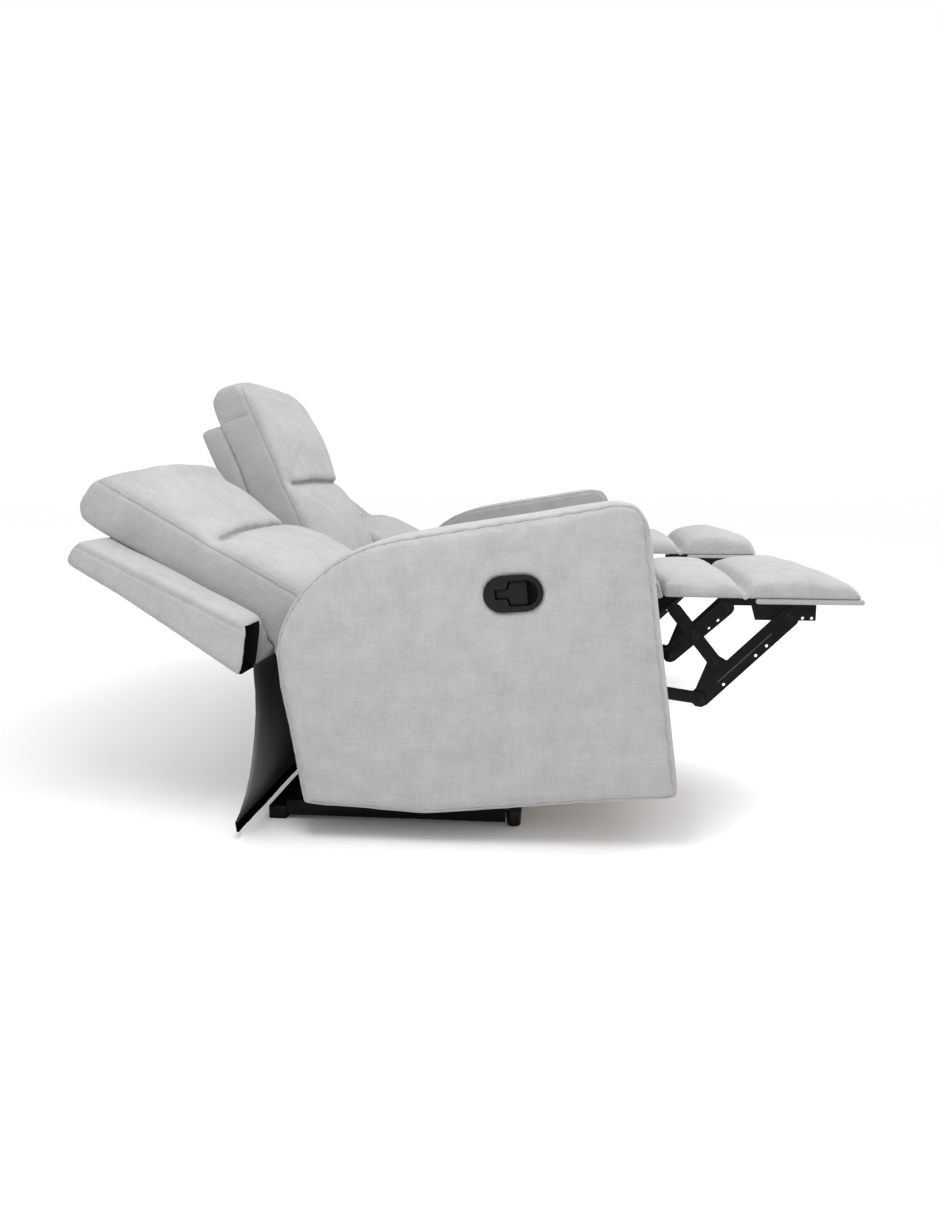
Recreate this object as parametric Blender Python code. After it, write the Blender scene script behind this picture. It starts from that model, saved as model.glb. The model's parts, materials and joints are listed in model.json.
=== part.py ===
"""Three-seat reclining sofa: the end seats laid back with their footrests out, the middle seat fixed.

X runs across the seats, the front faces -Y and Z is up. Every Y below is measured rearward from the fold
line, where the footrests of the reclined end seats hinge, and one empty then centres the whole sofa.
"""
import math

import bmesh
import bpy

for old_object in list(bpy.data.objects):
    bpy.data.objects.remove(old_object)

# Overall layout, in metres
GAP = 0.0003                 # between pieces that touch
SEAT_PITCH = 0.56
ARM_THICKNESS = 0.12
SIDE_CLEARANCE = 0.006       # from an upholstered side to the seat's own boundary
GLIDE_TRAVEL = 0.18          # an end seat rolls this far back as it closes
UPRIGHT_ANGLE = math.radians(19.0)
RECLINE_ANGLE = math.radians(37.5)

# Seats
SEAT_DEPTH = 0.57
SEAT_TOP = 0.565
SEAT_THICKNESS = 0.113
SEAT_CROWN = 0.022
SEAT_BOX_HEIGHT = 0.09
SEAT_BOX_SETBACK = 0.05
SEAT_BOX_SHOULDER = 0.20
FRONT_PANEL_THICKNESS = 0.062
FRONT_PANEL_DRAW = 0.016

# Backs, measured along the back from its hinge and square to it
HINGE_SETBACK = 0.125
HINGE_HEIGHT = 0.41
HINGE_RADIUS = 0.0125
BACK_LENGTH = 0.62
BACK_REAR = 0.09
BACK_EDGE_LOW = 0.040        # the front edge stands forward of the hinge line by this at the bottom
BACK_EDGE_HIGH = -0.004
CHANNEL_HEIGHT = 0.336
HEAD_CROWN = 0.060
LUMBAR_CROWN = 0.071
CHANNEL_CROWN = 0.024
TOP_EDGE_CROWN = 0.026
TOP_CROWN = 0.035
HEEL_DEPTH = 0.112
OUTER_BACK_LOW = 0.10
OUTER_BACK_HIGH = 0.535
OUTER_BACK_THICKNESS = 0.06
OUTER_BACK_ROUNDING = 0.012
WING_RISE = 0.049            # the outer back stands forward by this at the foot of its wing, behind the arm
WING_STEP = 0.026
WING_CUT = 0.052             # the wing's foot is cut back by this at its front
FLAP_SETBACK = 0.128
FLAP_LENGTH = 0.340
FLAP_THICKNESS = 0.005
FLAP_FLARE = 0.046
FLAP_WAVE = 0.004

# Footrests
FOLD_HEIGHT = 0.503
FOOTREST_LENGTH = 0.398
FOOTREST_CHANNEL = 0.161
BOARD_LENGTH = 0.2145
BOARD_THICKNESS = 0.011
BOARD_RISE = 0.0035          # the board's top lies this far above the fold line
PAD_EDGE_HEIGHT = 0.030
PAD_INNER_CROWN = 0.020
PAD_OUTER_CROWN = 0.029
PAD_NOSE_SETBACK = 0.008

# Steel linkage: pivots as distance in front of the fold line and height below it
LINK_THICKNESS = 0.004
LINK_GAP = 0.0005
FRONT_LINK_TOP = (0.252, 0.033)
FRONT_LINK_FOOT = (0.0775, 0.206)
FRONT_LINK_EAR = (0.103, 0.126)
FRONT_LINK_WIDTH = 0.041
CROSS_LINK_TOP = (0.020, 0.021)
CROSS_LINK_WIDTH = 0.028
REAR_LINK_TOP = (0.1255, 0.016)
REAR_LINK_FOOT = (0.0135, 0.117)
REAR_LINK_WIDTH = 0.031
LOWER_LINK_PIVOT = (-0.155, 0.173)
LOWER_LINK_WIDTH = 0.026
BRACKET_DEPTH = 0.033
BRACKET_LENGTH = 0.121
BRACKET_FLANGE = 0.022
BRACKET_ARM_DEPTH = 0.0145   # of the arm that runs from the board back to the rear link
BRACKET_LUG = 0.011
LINK_HOLE_RADIUS = 0.0035
LINK_HOLE_EDGE = 0.008       # from a hole's middle to the link's lower edge

# Arms
ARM_TOP = 0.707
ARM_TOP_FALL = 0.070         # from the crest near the front to where the rear sweep begins
ARM_FRONT_TOP = 0.045        # behind the fold line
ARM_FRONT_LEAN = 0.069
ARM_FRONT_LIFT = 0.119
ARM_BELLY_LIFT = 0.066
ARM_TAIL_LIFT = 0.080
ARM_TAIL_LEAN = 0.0525
ARM_BEHIND_HINGE = 0.0975
ARM_EDGE_ROUNDING = 0.014

# Release handle in the arm's outer face
HANDLE_BEHIND_FOLD = 0.3065
HANDLE_HEIGHT = 0.527
HANDLE_TILT = math.radians(4.5)
HANDLE_LENGTH = 0.119
HANDLE_WIDTH = 0.073
HANDLE_FLANGE = 0.004
HANDLE_DEPTH = 0.040
HANDLE_FLOOR = 0.006
LEVER_THICKNESS = 0.006
LEVER_SINK = 0.002
LEVER_CLEARANCE = 0.0012
STEM_HALF_WIDTH = 0.0088
PADDLE_HALF_WIDTH = 0.0238
LEVER_PIVOT = 0.0327         # from the handle's middle towards the rear
LEVER_SHOULDER = 0.011       # where the stem widens to the paddle
SHOULDER_SLOPE = 0.005
SHOULDER_CLEARANCE = 0.0025
LEVER_TIP = -0.0273
FINGER_GAP = 0.0207

# Base
BASE_BEHIND_HINGE = 0.160    # the floor bar's rear, clear of the flap that hangs behind it
BASE_DEPTH = 0.562
RAIL_WIDTH = 0.035
RAIL_BOTTOM = 0.010
RAIL_TOP = 0.045
RAIL_INSET = 0.010
NOSE_THICKNESS = 0.010
FOOT_RADIUS = 0.0175
FOOT_TAPER = 0.003
FRONT_BAR_DEPTH = 0.042
FRONT_BAR_HEIGHT = 0.020
REAR_BAR_DEPTH = 0.040
REAR_BAR_HEIGHT = 0.030
SHOE_HEIGHT = 0.026
SHOE_WIDTH = 0.042
MIDDLE_BOX_TAIL = 0.060      # the middle box reaches this far behind the back's hinge line

# Derived places
HALF_SEAT = SEAT_PITCH / 2
HALF_CUSHION = HALF_SEAT - SIDE_CLEARANCE
SEAT_BOTTOM = SEAT_TOP - SEAT_THICKNESS
HINGE_Y = SEAT_DEPTH + HINGE_SETBACK
BOARD_TOP = FOLD_HEIGHT + BOARD_RISE
BOARD_BOTTOM = BOARD_TOP - BOARD_THICKNESS
PAD_BOTTOM = BOARD_TOP + GAP
BASE_FRONT = HINGE_Y + BASE_BEHIND_HINGE - BASE_DEPTH
RAIL_END = BASE_FRONT + BASE_DEPTH - REAR_BAR_DEPTH - GAP
SHOE_FRONT = BASE_FRONT + FRONT_BAR_DEPTH + 4 * LINK_THICKNESS
SHOE_REAR = RAIL_END - GLIDE_TRAVEL - LINK_THICKNESS
SHOE_BOTTOM = RAIL_TOP + GAP
CROWN_ROLL = 0.17
STATION_INSETS = (0.0, 0.012, 0.045, 0.11, 0.19)


def make_finish(name, color, roughness, metallic=0.0):
    """A plain Principled finish."""
    finish = bpy.data.materials.new(name)
    finish.use_nodes = True
    shader = finish.node_tree.nodes["Principled BSDF"]
    shader.inputs["Base Color"].default_value = (*color, 1.0)
    shader.inputs["Roughness"].default_value = roughness
    shader.inputs["Metallic"].default_value = metallic
    return finish


FABRIC = make_finish("grey_chenille", (0.56, 0.55, 0.55), 0.9)
LINING = make_finish("lined_back_cloth", (0.47, 0.46, 0.46), 0.95)
STEEL = make_finish("black_steel", (0.016, 0.016, 0.017), 0.45, 0.6)
PLASTIC = make_finish("black_plastic", (0.014, 0.014, 0.015), 0.4)
PLYWOOD = make_finish("plywood", (0.42, 0.31, 0.20), 0.75)


def add_empty(name, place, tilt=0.0, parent=None):
    """An empty that carries pieces; a positive tilt leans its top rearward."""
    empty = bpy.data.objects.new(name, None)
    bpy.context.scene.collection.objects.link(empty)
    empty.location = place
    empty.rotation_euler = (-tilt, 0.0, 0.0)
    empty.parent = parent
    return empty


def add_piece(name, bm, finish, parent):
    """Turn a finished bmesh into a named object under its empty."""
    bmesh.ops.recalc_face_normals(bm, faces=bm.faces)
    mesh = bpy.data.meshes.new(name)
    bm.to_mesh(mesh)
    bm.free()
    mesh.shade_smooth()
    mesh.set_sharp_from_angle(angle=math.radians(40))
    mesh.materials.append(finish)
    piece = bpy.data.objects.new(name, mesh)
    bpy.context.scene.collection.objects.link(piece)
    piece.parent = parent
    return piece


def plate_mesh(outline, x_low, x_high, holes=()):
    """A flat plate of the outline, given as (y, z) points, with round holes, from x_low to x_high."""
    bm = bmesh.new()
    edges = []
    for loop in (outline, *holes):
        verts = [bm.verts.new((x_low, y, z)) for y, z in loop]
        for index, vert in enumerate(verts):
            edges.append(bm.edges.new((vert, verts[(index + 1) % len(verts)])))
    bmesh.ops.triangle_fill(bm, edges=edges, use_beauty=True)
    grown = bmesh.ops.extrude_face_region(bm, geom=bm.faces[:])
    moved = [item for item in grown["geom"] if isinstance(item, bmesh.types.BMVert)]
    bmesh.ops.translate(bm, verts=moved, vec=(x_high - x_low, 0.0, 0.0))
    return bm


def add_plate(name, outline, x_low, x_high, finish, parent, holes=()):
    """A plate as its own piece."""
    return add_piece(name, plate_mesh(outline, x_low, x_high, holes), finish, parent)


def add_box(name, low, high, finish, parent):
    """A square block between two corners."""
    outline = [(low[1], low[2]), (high[1], low[2]), (high[1], high[2]), (low[1], high[2])]
    return add_plate(name, outline, low[0], high[0], finish, parent)


def add_loft(name, rings, finish, parent):
    """Skin a row of closed rings of points and cap both ends."""
    bm = bmesh.new()
    loops = [[bm.verts.new(point) for point in ring] for ring in rings]
    for first, second in zip(loops, loops[1:]):
        for index, vert in enumerate(first):
            after = (index + 1) % len(first)
            bm.faces.new((vert, first[after], second[after], second[index]))
    bm.faces.new(loops[0])
    bm.faces.new(loops[-1])
    return add_piece(name, bm, finish, parent)


def add_round(name, centre, radii, length, along_x, finish, parent, sides=16):
    """A round bar or a tapered foot; radii are those of its low and high ends."""
    bm = bmesh.new()
    bmesh.ops.create_cone(bm, cap_ends=True, segments=sides, radius1=radii[0], radius2=radii[1], depth=length)
    for vert in bm.verts:
        x, y, z = vert.co
        turned = (z, y, -x) if along_x else (x, y, z)
        vert.co = [centre[axis] + turned[axis] for axis in range(3)]
    return add_piece(name, bm, finish, parent)


def round_edges(piece, width, segments=2):
    """Round the square rims of a piece."""
    bevel = piece.modifiers.new("rounding", "BEVEL")
    bevel.width = width
    bevel.segments = segments
    bevel.limit_method = "ANGLE"
    bevel.angle_limit = math.radians(50)


def combine(piece, other, operation):
    """Cut a piece with another body, or join that body to it."""
    other.hide_render = True
    other.display_type = "WIRE"
    boolean = piece.modifiers.new(operation.lower(), "BOOLEAN")
    boolean.operation = operation
    boolean.solver = "EXACT"
    boolean.object = other


def arc(centre, radius, start, end, steps):
    """Points on an arc in the (y, z) plane, angles in degrees from +Y towards +Z."""
    points = []
    for step in range(steps + 1):
        angle = math.radians(start + (end - start) * step / steps)
        points.append((centre[0] + radius * math.cos(angle), centre[1] + radius * math.sin(angle)))
    return points


def circle(centre, radius, sides=8):
    """A closed ring of points."""
    return arc(centre, radius, 0.0, 360.0, sides)[:-1]


def link_outline(first, second, width, steps=5):
    """A link bar with round ends about its two pivots."""
    heading = math.degrees(math.atan2(second[1] - first[1], second[0] - first[0]))
    far_end = arc(second, width / 2, heading - 90, heading + 90, steps)
    near_end = arc(first, width / 2, heading + 90, heading + 270, steps)
    return far_end + near_end


def along(first, second, share):
    """The point a share of the way between two (y, z) points."""
    return (first[0] + (second[0] - first[0]) * share, first[1] + (second[1] - first[1]) * share)


def meeting(first, second, third, fourth):
    """Where the line through two (y, z) points crosses the line through two others."""
    dy, dz = second[0] - first[0], second[1] - first[1]
    ey, ez = fourth[0] - third[0], fourth[1] - third[1]
    share = ((third[0] - first[0]) * ez - (third[1] - first[1]) * ey) / (dy * ez - dz * ey)
    return along(first, second, share)


def pivot_place(pivot):
    """A linkage pivot as (y, z), from its distances in front of and below the fold line."""
    return (-pivot[0], FOLD_HEIGHT - pivot[1])


def crown_share(inset):
    """How much of the crown shows at a distance inside a cushion's side."""
    reach = min(1.0, inset / CROWN_ROLL)
    return math.sqrt(1.0 - (1.0 - reach) ** 2)


def stations(half_width):
    """Places across a cushion with the share of the crown at each."""
    left = [(inset - half_width, crown_share(inset)) for inset in STATION_INSETS]
    right = [(-x, share) for x, share in reversed(left)]
    return left + [(0.0, crown_share(half_width))] + right


def swell(share):
    """A full, flat-topped swell over 0 to 1, zero at both ends."""
    return 1.0 - abs(2.0 * share - 1.0) ** 3


def back_front(height, share):
    """How far the back's front face stands forward of the hinge line, with a share of its crown."""
    edge = BACK_EDGE_LOW + (BACK_EDGE_HIGH - BACK_EDGE_LOW) * height / BACK_LENGTH
    if height >= CHANNEL_HEIGHT:
        reach = (height - CHANNEL_HEIGHT) / (BACK_LENGTH - CHANNEL_HEIGHT)
        base = CHANNEL_CROWN if reach < 0.5 else TOP_EDGE_CROWN
        crown = base + (HEAD_CROWN - base) * swell(reach)
    else:
        reach = 1.0 - height / CHANNEL_HEIGHT
        rise = swell(min(0.5, reach))
        fall = 1.0 - 0.5 * max(0.0, (reach - 0.72) / 0.28) ** 2
        crown = (CHANNEL_CROWN + (LUMBAR_CROWN - CHANNEL_CROWN) * rise) * fall
    return edge + crown * share


def back_ring(x, share, head_steps=6, lumbar_steps=6):
    """One cross-section of the back cushion in the back's own frame: y rearward, z up the back."""
    bottom = HINGE_RADIUS + GAP
    ledge = OUTER_BACK_LOW - GAP
    top = BACK_LENGTH + TOP_CROWN * share
    rear_corner = BACK_REAR * 0.3
    ring = [(x, HEEL_DEPTH, bottom), (x, HEEL_DEPTH, ledge), (x, BACK_REAR, ledge)]
    ring += [(x, BACK_REAR, CHANNEL_HEIGHT), (x, BACK_REAR, BACK_LENGTH - 2 * rear_corner)]
    ring += [(x, BACK_REAR - 0.3 * rear_corner, BACK_LENGTH - 0.6 * rear_corner)]
    ring += [(x, BACK_REAR - rear_corner, top - 0.4 * rear_corner), (x, 0.4 * BACK_REAR, top)]
    ring += [(x, 0.1 * BACK_REAR - TOP_EDGE_CROWN * 0.4 * share, top - 0.3 * TOP_CROWN * share)]
    for step in range(head_steps):
        height = BACK_LENGTH - (BACK_LENGTH - CHANNEL_HEIGHT) * step / head_steps
        ring.append((x, -back_front(height, share), height))
    for step in range(lumbar_steps + 1):
        height = CHANNEL_HEIGHT - (CHANNEL_HEIGHT - bottom) * step / lumbar_steps
        ring.append((x, -back_front(height, share), height))
    return ring


def outer_back_ring(x, wing=0.0):
    """One cross-section of the outer back panel; the wing's lower front edge stands forward and is cut back."""
    front = BACK_REAR + GAP
    rear = front + OUTER_BACK_THICKNESS
    return [(x, front - wing * WING_RISE, OUTER_BACK_LOW + wing * WING_CUT), (x, rear, OUTER_BACK_LOW),
            (x, rear, OUTER_BACK_HIGH), (x, front, OUTER_BACK_HIGH)]


def add_back(seat, hinge, wing_side=0):
    """The padded back with its outer panel, on the back's hinge empty.

    The outer panel of an end seat has a wing on its outward side, which reaches past the cushion behind the arm.
    """
    rings = [back_ring(x, share) for x, share in stations(HALF_CUSHION)]
    add_loft(f"{seat}_back_cushion", rings, FABRIC, hinge)
    rings = [outer_back_ring(-HALF_CUSHION), outer_back_ring(HALF_CUSHION)]
    if wing_side:
        wing_x = wing_side * (HALF_CUSHION + GAP)
        wing_end = wing_side * (HALF_SEAT + ARM_THICKNESS)
        rings = [outer_back_ring(-wing_side * HALF_CUSHION), outer_back_ring(wing_x),
                 outer_back_ring(wing_x + wing_side * WING_STEP, 1.0), outer_back_ring(wing_end, 1.0)]
    panel = add_loft(f"{seat}_outer_back", rings, FABRIC, hinge)
    round_edges(panel, OUTER_BACK_ROUNDING)


def seat_top(y, share):
    """Height of the seat's top: crowned, a little lower at the rear, rolled off at both ends."""
    reach = y / SEAT_DEPTH
    edge = SEAT_TOP - SEAT_CROWN - 0.5 * SEAT_CROWN * reach
    return edge + SEAT_CROWN * share * (0.55 + 0.45 * swell(reach))


def seat_ring(x, share, steps=6):
    """One cross-section of an end seat's cushion, whose front lip is as thin as the footrest pad that it meets."""
    ring = [(x, SEAT_DEPTH, SEAT_BOTTOM), (x, SEAT_BOX_SETBACK, SEAT_BOTTOM)]
    ring += [(x, 0.6 * SEAT_BOX_SETBACK, FOLD_HEIGHT), (x, GAP, FOLD_HEIGHT)]
    for step in range(steps + 1):
        y = GAP + (SEAT_DEPTH - GAP) * step / steps
        ring.append((x, y, seat_top(y, share)))
    return ring


def middle_ring(x, share, steps=6):
    """One cross-section of the middle seat's cushion, whose front panel hangs down to the footrests' line."""
    hem = FOLD_HEIGHT - FOOTREST_LENGTH
    channel = FOLD_HEIGHT - FOOTREST_CHANNEL
    front = -(FRONT_PANEL_THICKNESS - FRONT_PANEL_DRAW * (1.0 - share))
    ring = [(x, SEAT_DEPTH, SEAT_BOTTOM), (x, 2 * GAP, SEAT_BOTTOM), (x, 2 * GAP, hem)]
    ring += [(x, 0.6 * front, hem), (x, 0.92 * front, hem + 0.06), (x, front, along((hem, 0), (channel, 0), 0.6)[0])]
    ring += [(x, 0.8 * front, channel), (x, front, channel + 0.05), (x, 0.95 * front, FOLD_HEIGHT - 0.02)]
    ring += [(x, 0.55 * front, FOLD_HEIGHT + 0.4 * (SEAT_TOP - FOLD_HEIGHT))]
    for step in range(steps + 1):
        y = SEAT_DEPTH * step / steps
        ring.append((x, y, seat_top(y, share)))
    return ring


def pad_ring(x, share, steps=5):
    """One cross-section of the footrest pad: two swells with a sewn channel between them."""
    tip = -(FOOTREST_LENGTH - PAD_NOSE_SETBACK)
    ring = [(x, tip, PAD_BOTTOM), (x, -FOOTREST_CHANNEL, PAD_BOTTOM), (x, -GAP, PAD_BOTTOM)]
    edge = PAD_BOTTOM + PAD_EDGE_HEIGHT
    for step in range(steps + 1):
        reach = step / steps
        rise = PAD_INNER_CROWN * share * (0.7 + 0.3 * swell(reach)) if reach < 1.0 else 0.1 * PAD_INNER_CROWN * share
        ring.append((x, -GAP - (FOOTREST_CHANNEL - GAP) * reach, edge + rise))
    for step in range(1, steps + 1):
        reach = step / steps
        fall = PAD_EDGE_HEIGHT * 0.7 * reach ** 3
        rise = PAD_OUTER_CROWN * share * swell(min(1.0, 0.15 + 0.85 * reach))
        ring.append((x, -FOOTREST_CHANNEL + (tip + FOOTREST_CHANNEL) * reach, edge + rise - fall))
    return ring


def flap_ring(x, steps=8):
    """One cross-section of the hanging flap about its sewn top edge: it drops and then flares rearward."""
    half = FLAP_THICKNESS / 2
    outer, inner = [], []
    for step in range(steps + 1):
        reach = step / steps
        flare = FLAP_FLARE * (reach ** 4 - 0.35 * swell(reach) * (1.0 - reach))
        middle = flare + FLAP_WAVE * reach * math.sin(x * math.tau / HALF_SEAT)
        outer.append((x, middle + half, -FLAP_LENGTH * reach))
        inner.append((x, middle - half, -FLAP_LENGTH * reach))
    bead = [(x, y, z) for y, z in arc((0.0, 0.0), half, 180, 0, 4)[1:-1]]
    return outer + inner[::-1] + bead


def arm_outline(steps=9):
    """The arm seen from the side: raked front, straight falling top that sweeps round to the rear, lifted bottom."""
    rear = HINGE_Y + ARM_BEHIND_HINGE
    front_bottom = (ARM_FRONT_TOP - ARM_FRONT_LEAN, ARM_FRONT_LIFT)
    belly = (along(front_bottom, (rear, 0.0), 0.63)[0], ARM_BELLY_LIFT)
    tail = (rear - ARM_TAIL_LEAN, ARM_TAIL_LIFT)
    crest = (ARM_FRONT_TOP + 0.06, ARM_TOP)
    sweep_start = (along(front_bottom, (rear, 0.0), 0.687)[0], ARM_TOP - ARM_TOP_FALL)
    sweep_end = (rear, HINGE_HEIGHT - 0.014)
    pull_top = along(crest, sweep_start, 1.4)
    pull_rear = (rear, HINGE_HEIGHT + 0.06)
    outline = [front_bottom, belly, tail, (rear - 0.008, HINGE_HEIGHT - 0.089)]
    for step in range(steps + 1):
        t = step / steps
        weights = (t ** 3, 3 * t * t * (1 - t), 3 * t * (1 - t) ** 2, (1 - t) ** 3)
        points = (sweep_start, pull_top, pull_rear, sweep_end)
        outline.append(tuple(sum(w * p[axis] for w, p in zip(weights, points)) for axis in range(2)))
    outline += [crest, (ARM_FRONT_TOP + 0.024, ARM_TOP - 0.007)]
    outline += [(ARM_FRONT_TOP + 0.004, ARM_TOP - 0.035)]
    return outline


def oval(length, width, steps=8):
    """A stadium-shaped outline about the origin."""
    offset = (length - width) / 2
    return arc((offset, 0.0), width / 2, -90, 90, steps) + arc((-offset, 0.0), width / 2, 90, 270, steps)


def add_arm(seat, side, carriage):
    """An upholstered arm with the release handle's housing and lever in its outer face."""
    inner_x = side * (HALF_SEAT + GAP)
    outer_x = side * (HALF_SEAT + ARM_THICKNESS)
    x_low, x_high = min(inner_x, outer_x), max(inner_x, outer_x)
    arm = add_plate(f"{seat}_arm", arm_outline(), x_low, x_high, FABRIC, carriage)
    round_edges(arm, ARM_EDGE_ROUNDING)

    handle = add_empty(f"{seat}_handle", (outer_x, HANDLE_BEHIND_FOLD, HANDLE_HEIGHT), HANDLE_TILT, carriage)
    body = (HANDLE_LENGTH - 2 * HANDLE_FLANGE, HANDLE_WIDTH - 2 * HANDLE_FLANGE)
    socket = oval(body[0] + 2 * GAP, body[1] + 2 * GAP)
    depths = sorted((-side * (HANDLE_DEPTH + GAP), side * HANDLE_FLANGE))
    combine(arm, add_plate(f"{seat}_handle_socket", socket, *depths, PLASTIC, handle), "DIFFERENCE")

    rings = []
    flange_outline = oval(HANDLE_LENGTH, HANDLE_WIDTH)
    for outline, x in ((oval(*body), -HANDLE_DEPTH), (oval(*body), GAP), (flange_outline, GAP),
                       (flange_outline, HANDLE_FLANGE)):
        rings.append([(side * x, y, z) for y, z in outline])
    bezel = add_loft(f"{seat}_handle_bezel", rings, PLASTIC, handle)
    slot_end = LEVER_PIVOT + LEVER_THICKNESS / 2 + LINK_GAP
    stem = STEM_HALF_WIDTH + LEVER_CLEARANCE
    paddle = PADDLE_HALF_WIDTH + LEVER_CLEARANCE
    gap_end = LEVER_TIP - FINGER_GAP
    shoulder = LEVER_SHOULDER + SHOULDER_CLEARANCE
    half = [(slot_end, stem), (shoulder, stem), (shoulder - SHOULDER_SLOPE, paddle), (gap_end + 0.016, paddle)]
    half += [(gap_end + 0.005, 0.68 * paddle), (gap_end, 0.25 * paddle)]
    pocket = half + [(y, -z) for y, z in reversed(half)]
    depths = sorted((-side * (HANDLE_DEPTH - HANDLE_FLOOR), 2 * side * HANDLE_FLANGE))
    combine(bezel, add_plate(f"{seat}_handle_pocket", pocket, *depths, PLASTIC, handle), "DIFFERENCE")

    lever_depth = LEVER_SINK + LEVER_THICKNESS / 2
    lever_axis = add_empty(f"{seat}_lever_axis", (-side * lever_depth, LEVER_PIVOT, 0.0), 0.0, handle)
    thick = LEVER_THICKNESS / 2
    stem_end = LEVER_SHOULDER - LEVER_PIVOT
    rings = []
    for y, half_width, half_thick in ((0.97 * thick, STEM_HALF_WIDTH, 0.24 * thick),
                                      (0.7 * thick, STEM_HALF_WIDTH, 0.7 * thick),
                                      (0.0, STEM_HALF_WIDTH, thick),
                                      (stem_end, STEM_HALF_WIDTH, thick),
                                      (stem_end - SHOULDER_SLOPE, PADDLE_HALF_WIDTH, thick),
                                      (LEVER_TIP + 0.005 - LEVER_PIVOT, PADDLE_HALF_WIDTH, thick),
                                      (LEVER_TIP - LEVER_PIVOT, 0.9 * PADDLE_HALF_WIDTH, 0.8 * thick)):
        rings.append([(-half_thick, y, -half_width), (half_thick, y, -half_width),
                      (half_thick, y, half_width), (-half_thick, y, half_width)])
    add_loft(f"{seat}_handle_lever", rings, PLASTIC, lever_axis)


def layer(flank, number):
    """The x range of one layer of steel, counted inward from a seat's boundary on one flank."""
    outside = HALF_SEAT - LINK_GAP - number * (LINK_THICKNESS + LINK_GAP)
    return sorted((flank * outside, flank * (outside - LINK_THICKNESS)))


def add_link(name, pivot, outline, flank, number, parent, holes=()):
    """A flat steel link on an empty at its pivot; pivot, outline and holes are given as (y, z)."""
    axis = add_empty(f"{name}_axis", (0.0, pivot[0], pivot[1] - parent.location.z), 0.0, parent)
    local = [(y - pivot[0], z - pivot[1]) for y, z in outline]
    local_holes = []
    for centre in holes:
        local_holes.append(circle((centre[0] - pivot[0], centre[1] - pivot[1]), LINK_HOLE_RADIUS, 6))
    x_low, x_high = layer(flank, number)
    add_plate(name, local, x_low, x_high, STEEL, axis, local_holes)


def front_link_outline(top, foot, ear):
    """The long front link with the ear that carries the cross link's lower end."""
    bar = link_outline(top, foot, FRONT_LINK_WIDTH)
    heading = math.degrees(math.atan2(foot[1] - top[1], foot[0] - top[0]))
    side_at = [along(top, foot, share) for share in (0.97, 0.62)]
    rise = (math.cos(math.radians(heading + 90)), math.sin(math.radians(heading + 90)))
    edge = [(p[0] + rise[0] * FRONT_LINK_WIDTH / 2, p[1] + rise[1] * FRONT_LINK_WIDTH / 2) for p in side_at]
    lug = arc(ear, CROSS_LINK_WIDTH / 2, heading + 30, heading + 150, 4)
    far_end = len(bar) // 2
    return bar[:far_end] + [edge[0]] + lug + [edge[1]] + bar[far_end:]


def edge_holes(top, foot, width, shares):
    """Hole centres along a sloping link, beside its lower edge."""
    run = (foot[0] - top[0], foot[1] - top[1])
    length = math.hypot(*run)
    drop = (width / 2 - LINK_HOLE_EDGE) / length
    centres = [along(top, foot, share) for share in shares]
    return [(y + run[1] * drop, z - run[0] * drop) for y, z in centres]


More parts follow.
